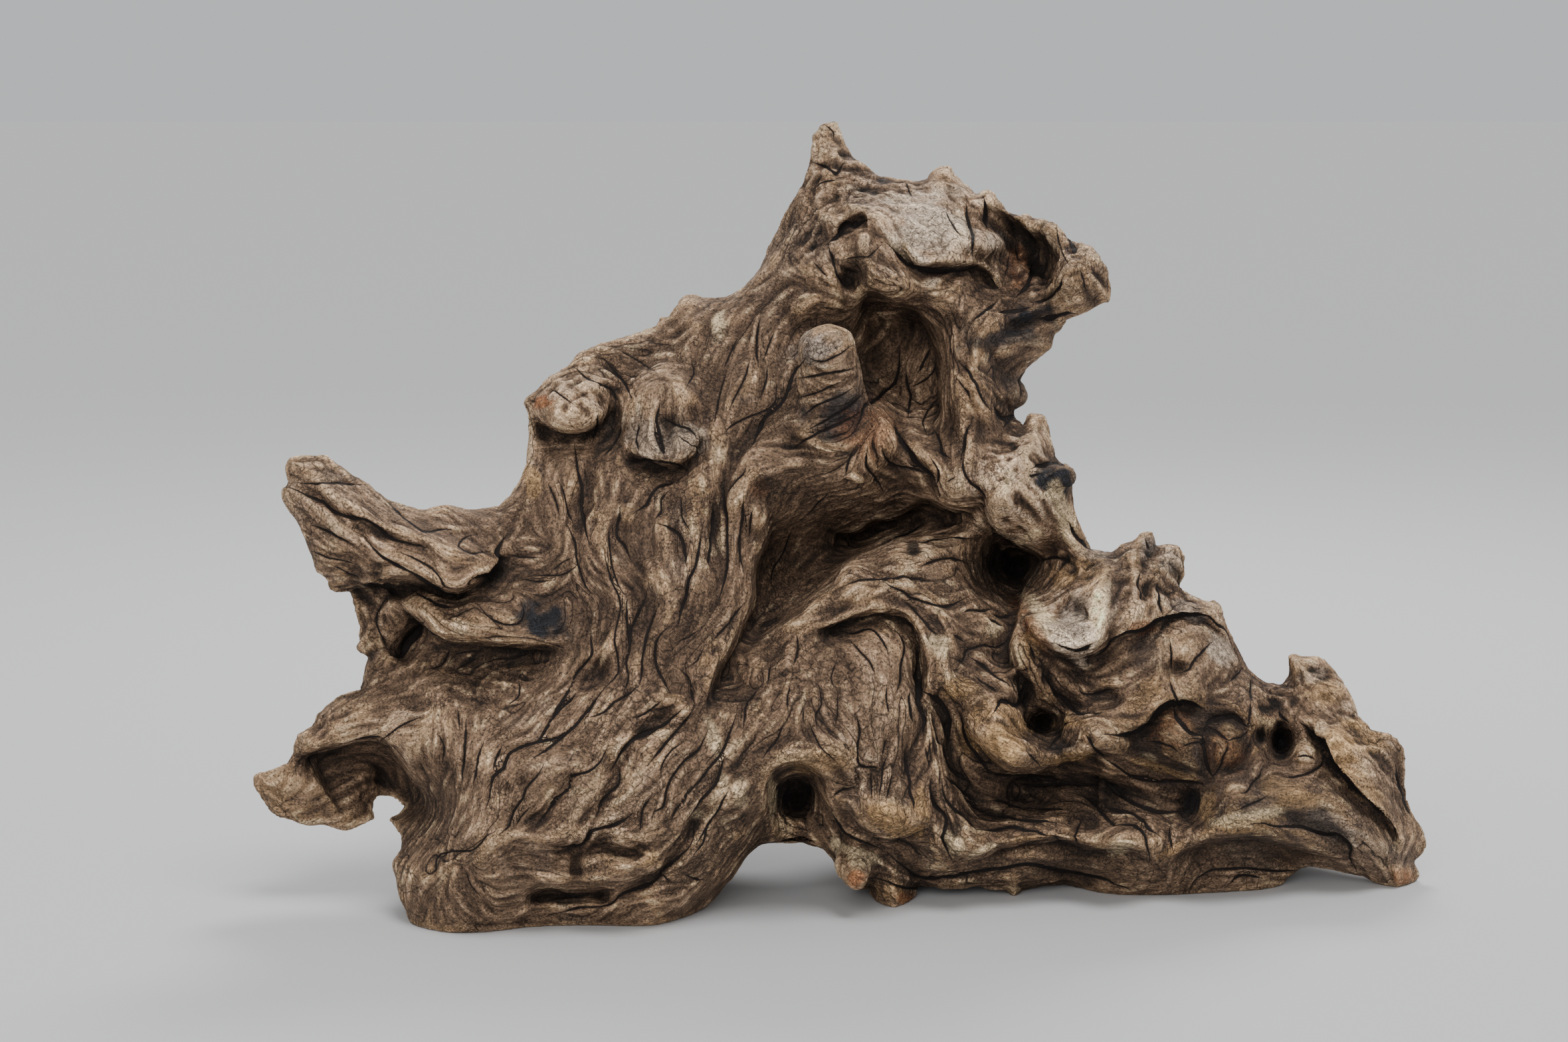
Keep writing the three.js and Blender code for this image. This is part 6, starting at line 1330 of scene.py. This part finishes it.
def crack_and_shadow_marks(u, v, facing):
    """Signed distance from the nearest of the cracks and painted shadow lines, and that line's half width
    there, at each point.
    """
    gap = np.full(len(u), FAR_FROM_CRACKS)
    width = np.full(len(u), -1.0)
    for half_width, *values in CRACKS_AND_SHADOW_LINES:
        points = curved(pairs(values))
        low = points.min(0) - CRACK_REACH
        high = points.max(0) + CRACK_REACH
        near = np.flatnonzero(facing & (u > low[0]) & (u < high[0]) & (v > low[1]) & (v < high[1]))
        distance, side, from_end = along_line(points, u[near], v[near])
        closer = (distance < CRACK_REACH) & (distance < np.abs(gap[near]))
        taper = CRACK_END + (1 - CRACK_END) * smooth(from_end, 0, CRACK_TAPER)
        gap[near[closer]] = (side * distance)[closer]
        width[near[closer]] = (half_width * taper)[closer]
    return gap, width


# Make the skin

distance = outline_distance()
front_base = thin_plate(FRONT_POINTS)
back_base = thin_plate(BACK_POINTS)
middle = front_base + FORE_SHARE * (back_base - front_base)
front_depth = front_base - relief(FRONT_STEPS, FRONT_RIDGES, FRONT_KNOBS) - middle
back_depth = back_base + relief(BACK_STEPS, BACK_RIDGES, BACK_KNOBS) - middle
front = middle + edge_share(distance, FRONT_ROUND) * front_depth
back = middle + edge_share(distance, BACK_ROUND) * back_depth
points, faces = largest_body(*skin(depth_inside(front, back)))
u, v, w = points.T

net = Skin(points, faces)
spots = net.smoothed(np.stack(place(u, v, w), 1), 2, 0.5)
p = spots[faces]
volume = np.einsum("ij,ij->i", p[:, 0], np.cross(p[:, 1], p[:, 2])).sum()
volume += np.einsum("ij,ij->i", p[:, 0], np.cross(p[:, 2], p[:, 3])).sum()
if volume < 0:
    faces = faces[:, ::-1]
    net = Skin(points, faces)
normals = net.normals(spots)


# Lay the grain over it from four sides, and mix the sides by the way the surface faces

FACE_ON = (0.15, 0.75)
END_ON = (0.45, 0.95)
facings = net.smoothed(normals, 3, 0.7)
toward = -facings[:, 1]
to_back = smooth(-toward, *FACE_ON)
to_side = smooth(np.abs(facings[:, 0]), *END_ON)
to_top = smooth(np.abs(facings[:, 2]), *END_ON)
shares = np.stack([smooth(toward, *FACE_ON), to_back, to_side, to_top], 1) + 1e-6
shares /= np.sqrt((shares ** 2).sum(1, keepdims=True))
front_grain = Grain(LOW_CORNER[:2], HIGH_CORNER[:2], front_directions)
back_grain = Grain(LOW_CORNER[:2], HIGH_CORNER[:2], back_directions)
side_grain = Grain((LOW_CORNER[2], LOW_CORNER[1]), (HIGH_CORNER[2], HIGH_CORNER[1]), upright)
top_grain = Grain((LOW_CORNER[0], LOW_CORNER[2]), (HIGH_CORNER[0], HIGH_CORNER[2]), lengthwise)
grain = shares[:, :1] * front_grain.at(u, v) + shares[:, 1:2] * back_grain.at(u, v)
grain += shares[:, 2:3] * side_grain.at(w, v) + shares[:, 3:] * top_grain.at(u, w)


def zone_share(zones):
    """How far each point lies in one of some zones of the front, from 0 to 1."""
    share = np.zeros(len(u))
    for oval in zones:
        share = np.maximum(share, smooth(SOFT_RIM - spot(u, v, *oval)))
    return share * smooth(toward, -0.6, 0.2)


def over_skin(size):
    """Even noise over the whole skin, its lumps a size in mm."""
    return sample(noise_sheet(UU.shape, size / CELL), u - 0.5 * w, v + 0.7 * w, CELL, *LOW_CORNER[:2])


# Fissures run where the last sheet of grain passes through nought, and only in places: slope of that
# sheet across them, largest half width, loss of it everywhere and gain of it on the back, the half width
# at which they have their full depth, that depth, and the reach of their sides
FISSURE_SLOPE = 0.38
FISSURE_WIDEST = 0.36
FISSURE_LOSS = 0.12
FISSURE_GAIN = 0.14
FISSURE_FULL = 0.24
FISSURE_DEPTH = 0.5
FISSURE_REACH = 0.6
patches = over_skin(30.0)
fissure_gap = grain[:, 3] / FISSURE_SLOPE
fissure_width = FISSURE_WIDEST * smooth(patches + 0.5 * grain[:, 0], -0.8, 1.6) - FISSURE_LOSS
fissure_width += FISSURE_GAIN * to_back
dark_line_gap, dark_line_width = crack_and_shadow_marks(u, v, toward > -0.1)

# Raise the strands and sink the fissures, the cracks and the painted shadow lines. Nubbly zones have small
# lumps instead of strands, and calm zones have little of either.
STRAND_HEIGHTS = (0.25, 0.25, 0.17)
NUB_SIZES = (5.0, 2.6)
NUB_HEIGHTS = (0.50, 0.30)
MEAN_SIZE = 0.8
CALM_LOSS = 0.45
NUBBLY_LOSS = 0.5
NUBS_ANYWHERE = 0.15
NUBS_IN_ZONES = 1.1
CRACK_DEPTH = 1.5
LARGEST_HALF = 2.0
DEEPEST = 3.5
HIGHEST = 2.5
SOLE_FADE = (0.3, 3.0)
nubbly = zone_share(NUBBLY_ZONES)
calm = zone_share(CALM_ZONES)
nubs = blend(NUB_HEIGHTS, [MEAN_SIZE - np.abs(over_skin(size)) for size in NUB_SIZES])
grooves = np.abs(grain[:, :2]) - MEAN_SIZE
fibres = grain[:, 2]
strands = blend(STRAND_HEIGHTS, (*grooves.T, fibres))
strands *= (1 - CALM_LOSS * calm) * (1 - NUBBLY_LOSS * nubbly)
strands += nubs * (NUBS_ANYWHERE + NUBS_IN_ZONES * nubbly)
sunk = FISSURE_DEPTH * np.clip(fissure_width, 0, 1) / FISSURE_FULL * bell(fissure_gap / FISSURE_REACH)
dark_line_half = np.clip(dark_line_width, 0, LARGEST_HALF)
sunk += CRACK_DEPTH * dark_line_half * bell(dark_line_gap / (0.4 + 0.8 * dark_line_half))
lift = (strands - sunk) * smooth(spots[:, 2], *SOLE_FADE)
spots = spots + normals * np.clip(lift, -DEEPEST, HIGHEST)[:, None]
spots[:, 2] = np.maximum(spots[:, 2], 0)
normals = net.normals(spots)

# Height above the surroundings, from near to far, in units of its own spread
EASING_ROUNDS = (4, 24, 130)
EASING_SHARE = 0.9
HEIGHT_LIMIT = 2.6
heights = []
eased = spots
for rounds in EASING_ROUNDS:
    eased = net.smoothed(eased, rounds, EASING_SHARE)
    height = ((spots - eased) * normals).sum(1)
    heights.append(np.clip(height / height.std(), -HEIGHT_LIMIT, HEIGHT_LIMIT))


# Colours

# Shares of the heights, of the grain, of flecks, mottle and broad patches, and of the lumps in the tone.
# The heights paint shade into the hollows and highlight onto what stands high, and the lumps are painted
# paler on their tops and darker between them.
PAINTED_SHADE_AND_HIGHLIGHT_BY_HEIGHT = (0.12, 0.18, 0.30)
GRAIN_TONES = (0.06, 0.13, 0.17)
NOISE_TONES = (0.08, 0.08, 0.10)
LUMP_TONES = (0.28, 1.1)
TONE_LIFT = 0.20
mottle = over_skin(9.0)
broad = over_skin(40.0)
flecks = over_skin(2.8)
# Painted shade in the hollows and painted highlight on what stands high
tone = blend(PAINTED_SHADE_AND_HIGHLIGHT_BY_HEIGHT, heights)
tone += blend(GRAIN_TONES, (*grooves.T, fibres))
tone += blend(NOISE_TONES, (flecks, mottle, broad)) + TONE_LIFT
# Painted highlight on the tops of the small lumps and painted shade between them, with some noise
tone += nubbly * blend(LUMP_TONES, (over_skin(2.2), nubs))
paler = np.zeros(len(u))
for *oval, change in ZONES:
    rim = smooth(SOFT_RIM - spot(u, v, *oval) + 0.12 * mottle)
    paler += change * rim * smooth(toward, -0.4, 0.2)
tone = tone * (1 + 0.6 * np.clip(paler, -0.8, 1)) * (1 - 0.25 * calm) + paler
levels = [level for level, _ in TONES]
tint = np.stack([np.interp(tone, levels, channel) for channel in zip(*(colour for _, colour in TONES))], 1)

# Strengths of the grey film, of the golden wear and painted highlight on what stands high, and of the
# cream flecks
GREY_FILM = 0.15
GOLDEN_WEAR_AND_HIGHLIGHT = 0.32
CREAM_FLECKS = 0.30


def mix_in_colour(share, kind):
    """Mixes one of the listed colours into the tint, the painted shade as well as the stains."""
    share = np.clip(share, 0, 1)[:, None]
    tint[:] = tint * (1 - share) + np.array(COLOURS_MIXED_IN[kind]) * share * (0.75 + 0.25 * tone[:, None])


film = smooth(blend((0.7, 0.5, 0.25), (broad, mottle, flecks)), 0.5, 1.1)
mix_in_colour(GREY_FILM * film * smooth(heights[2], -1.5, 0.5), "grey")
# Golden on what stands high: partly wear, partly a painted highlight on the ridges
worn_and_lit = blend((0.6, 0.5, 0.3, 0.4), (heights[1], heights[2], mottle, flecks))
mix_in_colour(GOLDEN_WEAR_AND_HIGHLIGHT * smooth(worn_and_lit, 0.9, 1.6), "golden")
fleck = blend((0.7, 0.3, 0.7, 0.3), (flecks, mottle, fibres, heights[1]))
mix_in_colour(CREAM_FLECKS * smooth(fleck, 1.6, 2.1), "cream")
# Patches of colour, the painted shade among them
for kind, ovals in PATCHES:
    for *oval, strength in ovals:
        rim = PATCH_RIM - spot(u, v, *oval) + 0.20 * mottle + 0.16 * flecks + 0.10 * fibres
        mix_in_colour(strength * smooth(rim, 0.0, 0.75) * smooth(toward, -0.5, 0.1), kind)
tint = np.clip(tint, 0.004, 0.9)


# Material

# Noise: lumps to a metre, detail and roughness
FINE = (1150, 3, 0.65)
MEDIUM = (420, 3, 0.55)
PITS = (900, 2, 0.50)
FLAKES = (800, 2, 0.60)
FLAKED_PARTS = (110, 2, 0.50)
SWIRL = (260, 2, 0.50)
FIBRES = (1, 3, 0.60)

# Fine checks: cells to a metre, half width of a check as a share of a cell, and the noise between which
# they set in
CHECKS = [(190, 0.08, 0.47, 0.57), (430, 0.09, 0.50, 0.60)]

# Share of a crack's dark that fissures and checks have, and colour of that dark
FISSURE_DARK = 0.85
CHECK_DARK = 0.65
DARK = (0.008, 0.005, 0.004, 1)

# Weights of the fine noise, the medium noise and the fibres in the shade of the tint, and in the height
SHADE_WEIGHTS = (0.60, 0.10, 0.60)
HEIGHT_WEIGHTS = (0.45, 0.30, 0.90)
SHADE_MIDDLE = 0.65
SHADE_GAIN = 5.0
SHADE_LIFT = 0.97
LEAST_SHADE = 0.2
FLAKE_SHADE = 0.9
PIT_SHADE = 4.0
PIT_DEPTH = 1.2
LINE_DEPTH = 0.55
BUMP_STRENGTH = 0.9


def wood_material():
    """Dry root wood: its tint and marks come from the skin, its finest grain from noise."""
    material = bpy.data.materials.new("weathered_root_wood")
    material.use_nodes = True
    tree = material.node_tree
    tree.nodes.clear()

    def node(kind, inputs=(), **settings):
        """A node with its settings. An input is a value, or the output of another node."""
        made = tree.nodes.new(kind)
        for name, value in settings.items():
            setattr(made, name, value)
        for slot, value in dict(inputs).items():
            if isinstance(value, bpy.types.NodeSocket):
                tree.links.new(value, made.inputs[slot])
            else:
                made.inputs[slot].default_value = value
        return made

    def maths(operation, a, b=0.0, clamp=False):
        return node("ShaderNodeMath", {0: a, 1: b}, operation=operation, use_clamp=clamp).outputs[0]

    def scaled(vector, scale):
        return node("ShaderNodeVectorMath", {0: vector, "Scale": scale}, operation="SCALE").outputs[0]

    def moved(vector, shift):
        return node("ShaderNodeVectorMath", {0: vector, 1: shift}, operation="ADD").outputs[0]

    def noise(places, scale, detail, rough):
        inputs = {"Vector": places, "Scale": scale, "Detail": detail, "Roughness": rough}
        return node("ShaderNodeTexNoise", inputs).outputs

    def mark(name, output="Vector"):
        return node("ShaderNodeAttribute", attribute_name=name).outputs[output]

    def ramp(value, low, high):
        """0 up to low, and 1 from high on."""
        return maths("DIVIDE", maths("SUBTRACT", value, low), high - low, True)

    def line(name, width_share, soft):
        """1 on the lines of a mark and 0 beside them."""
        parts = node("ShaderNodeSeparateXYZ", {0: mark(name)}).outputs
        gap = maths("ABSOLUTE", maths("ADD", parts[0], wobble))
        within = maths("SUBTRACT", maths("MULTIPLY", parts[1], width_share), gap)
        return maths("ADD", maths("DIVIDE", within, soft), 0.5, True)

    def checks(scale, half_width, low, high):
        """Fine checks across and along the grain, in places."""
        inputs = {"Vector": bent, "Scale": scale}
        cells = node("ShaderNodeTexVoronoi", inputs, feature="DISTANCE_TO_EDGE")
        near_edge = maths("SUBTRACT", 1, maths("DIVIDE", cells.outputs["Distance"], half_width), True)
        held = ramp(noise(coordinates, 0.12 * scale, 2, 0.5)["Fac"], low, high)
        return maths("MULTIPLY", near_edge, held)

    def weighted(weights):
        """Sum of the fine noise, the medium noise and the fibres, each by its weight."""
        terms = [maths("MULTIPLY", part, weight) for part, weight in zip((fine, medium, fibre), weights)]
        return maths("ADD", maths("ADD", terms[0], terms[1]), terms[2])

    coordinates = node("ShaderNodeTexCoord").outputs["Object"]
    fine = noise(coordinates, *FINE)["Fac"]
    medium = noise(coordinates, *MEDIUM)["Fac"]
    pits = noise(coordinates, *PITS)["Fac"]
    fibre = noise(moved(scaled(mark("strand"), 4.0), scaled(coordinates, 60)), *FIBRES)["Fac"]
    bent = moved(coordinates, scaled(noise(coordinates, *SWIRL)["Color"], 0.004))

    # Dark lines of the cracks, fissures and checks, and painted shadow lines under some edges
    wobble = maths("MULTIPLY", maths("SUBTRACT", medium, 0.5), 0.5)
    fissures = maths("MULTIPLY", line("fissure", 1.0, 0.30), FISSURE_DARK)
    checked = maths("MAXIMUM", *(checks(*values) for values in CHECKS))
    lines = maths("MAXIMUM", line("crack_and_shadow_line", 0.8, 0.25), fissures)
    lines = maths("MAXIMUM", lines, maths("MULTIPLY", checked, CHECK_DARK))

    # Shade of the tint: a fine mottle, pale flakes in places, and dark pits
    flakes = ramp(noise(coordinates, *FLAKES)["Fac"], 0.58, 0.63)
    held = ramp(noise(coordinates, *FLAKED_PARTS)["Fac"], 0.46, 0.56)
    shade = maths("MULTIPLY", maths("SUBTRACT", weighted(SHADE_WEIGHTS), SHADE_MIDDLE), SHADE_GAIN)
    shade = maths("ADD", shade, SHADE_LIFT)
    shade = maths("ADD", shade, maths("MULTIPLY", maths("MULTIPLY", flakes, held), FLAKE_SHADE))
    pitted = maths("MULTIPLY", maths("SUBTRACT", pits, 0.60, True), PIT_SHADE)
    shade = maths("MAXIMUM", maths("SUBTRACT", shade, pitted), LEAST_SHADE)
    inputs = {"Factor": lines, "A": scaled(mark("tint", "Color"), shade), "B": DARK}
    mixed = node("ShaderNodeMix", inputs, data_type="RGBA")

    # Height for the bump, mm
    height = maths("SUBTRACT", weighted(HEIGHT_WEIGHTS), maths("MULTIPLY", lines, LINE_DEPTH))
    pitted = maths("MULTIPLY", maths("SUBTRACT", pits, 0.62, True), -PIT_DEPTH)
    height = maths("ADD", height, pitted)
    bump = node("ShaderNodeBump", {"Distance": MM, "Strength": BUMP_STRENGTH, "Height": height})

    shader = node("ShaderNodeBsdfPrincipled", {
        "Base Color": mixed.outputs["Result"],
        "Roughness": maths("ADD", maths("MULTIPLY", medium, 0.3), 0.62),
        "Specular IOR Level": 0.25,
        "Normal": bump.outputs["Normal"],
    })
    node("ShaderNodeOutputMaterial", {"Surface": shader.outputs[0]})
    return material


# Pieces

def rims(faces):
    """Closed rings of points round the open edges of some faces, running the other way."""
    a = faces.ravel()
    b = np.roll(faces, -1, 1).ravel()
    keys = a.astype(np.int64) * (faces.max() + 1) + b
    mirrored = b.astype(np.int64) * (faces.max() + 1) + a
    lonely = ~np.isin(keys, mirrored)
    following = {}
    for start, end in zip(b[lonely].tolist(), a[lonely].tolist()):
        following.setdefault(start, []).append(end)
    rings = []
    while following:
        start, ends = next(iter(following.items()))
        ring = [start]
        current = start
        while current in following:
            ends = following[current]
            step = ends.pop()
            if not ends:
                del following[current]
            if step == start:
                break
            ring.append(step)
            current = step
        if len(ring) > 2:
            rings.append(ring)
    return rings


def add_object(name, data):
    """A new object of the scene."""
    made = bpy.data.objects.new(name, data)
    bpy.context.scene.collection.objects.link(made)
    return made


def make_piece(name, own, material):
    """A piece from some of the skin's faces. Each open end turns in below the skin, inside the wood."""
    used, local = np.unique(own, return_inverse=True)
    quads = [local.reshape(own.shape)]
    places = [origin_spots[used]]
    source = [used]
    count = len(used)
    for ring in rims(quads[0]):
        ring = np.array(ring)
        inner = count + np.arange(len(ring))
        count += len(ring)
        quads.append(np.stack([ring, np.roll(ring, -1), np.roll(inner, -1), inner], 1))
        places.append(origin_spots[used[ring]] - TURN_IN * normals[used[ring]])
        source.append(used[ring])
    quads = np.concatenate(quads).astype(np.int32)
    places = np.concatenate(places) * MM
    source = np.concatenate(source)
    mesh = bpy.data.meshes.new(name)
    mesh.vertices.add(count)
    mesh.vertices.foreach_set("co", places.astype(np.float32).ravel())
    mesh.loops.add(quads.size)
    mesh.loops.foreach_set("vertex_index", quads.ravel())
    mesh.polygons.add(len(quads))
    mesh.polygons.foreach_set("loop_start", np.arange(0, quads.size, 4, dtype=np.int32))
    mesh.update(calc_edges=True)
    for title, kind, field, values in (
        ("tint", "FLOAT_COLOR", "color", np.concatenate([tint, np.ones((len(tint), 1))], 1)),
        ("crack_and_shadow_line", "FLOAT_VECTOR", "vector", dark_line_mark),
        ("fissure", "FLOAT_VECTOR", "vector", fissure_mark),
        ("strand", "FLOAT_VECTOR", "vector", grain[:, [0, 1, 3]]),
    ):
        layer = mesh.attributes.new(title, kind, "POINT")
        layer.data.foreach_set(field, values[source].astype(np.float32).ravel())
    mesh.validate()
    mesh.shade_smooth()
    mesh.normals_split_custom_set_from_vertices(normals[source].astype(np.float32))
    mesh.materials.append(material)
    return add_object(name, mesh)


dark_line_mark = np.stack([dark_line_gap, dark_line_width, np.zeros(len(u))], 1)
fissure_mark = np.stack([fissure_gap, fissure_width, np.zeros(len(u))], 1)
origin_spots = spots - np.array([MIDDLE_X, MIDDLE_Y, 0])
centres = spots[faces].mean(1)
free = np.ones(len(faces), bool)
wood = wood_material()
for node_name, piece_name, low, high in FORKS:
    held = free & (centres > low).all(1) & (centres < high).all(1)
    free &= ~held
    piece = make_piece(piece_name, faces[held], wood)
    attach(piece, "root")
    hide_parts(node_name)


# Floor, light and camera

FLOOR_GREY = 0.50
FLOOR_REACH = 30
floor_material = bpy.data.materials.new("pale_floor")
floor_material.use_nodes = True
floor_shader = floor_material.node_tree.nodes["Principled BSDF"]
floor_shader.inputs["Base Color"].default_value = (FLOOR_GREY, FLOOR_GREY, FLOOR_GREY, 1)
floor_shader.inputs["Roughness"].default_value = 1.0
floor_mesh = bpy.data.meshes.new("floor")
floor_corners = [(x * FLOOR_REACH, y * FLOOR_REACH, 0) for x, y in ((-1, -1), (1, -1), (1, 1), (-1, 1))]
floor_mesh.from_pydata(floor_corners, [], [(0, 1, 2, 3)])
floor_mesh.materials.append(floor_material)
floor = add_object("floor", floor_mesh)


def aimed(item, direction):
    """Turns a light or the camera to look in a direction."""
    item.rotation_euler = Vector(direction).to_track_quat("-Z", "Y").to_euler()


def round_light(name, spot_m, aim_m, size_m, watts):
    """A round light at one spot that shines at another."""
    lamp = bpy.data.lights.new(name, "AREA")
    lamp.shape = "DISK"
    lamp.size = size_m
    lamp.energy = watts
    holder = add_object(name, lamp)
    holder.location = spot_m
    aimed(holder, Vector(aim_m) - Vector(spot_m))


key = bpy.data.lights.new("key", "SUN")
key.energy = 2.2
key.angle = math.radians(24)
aimed(add_object("key", key), (-0.25, 0.45, -1.0))
round_light("rim", spot_m=(0.15, 0.75, 1.05), aim_m=(0, 0, 0.15), size_m=0.5, watts=10)
round_light("fill", spot_m=(-0.3, -1.6, 0.75), aim_m=(0, 0, 0.12), size_m=1.2, watts=17)
world = bpy.data.worlds.new("studio")
world.use_nodes = True
background = world.node_tree.nodes["Background"]
background.inputs["Color"].default_value = (0.96, 0.98, 1.0, 1)
background.inputs["Strength"].default_value = 0.62
bpy.context.scene.world = world

camera_data = bpy.data.cameras.new("camera")
camera_data.sensor_width = 36
camera_data.lens = camera_data.sensor_width * SIGHT_DISTANCE / SIGHT_WIDTH
camera_data.clip_start = 0.01
camera_data.clip_end = 50
camera = add_object("camera", camera_data)
sight = Vector((0, math.cos(SIGHT_TILT), -math.sin(SIGHT_TILT)))
target = Vector((SIGHT_ACROSS - MIDDLE_X, -MIDDLE_Y, SIGHT_HEIGHT)) * MM
camera.location = target - sight * SIGHT_DISTANCE * MM
aimed(camera, sight)
bpy.context.scene.camera = camera
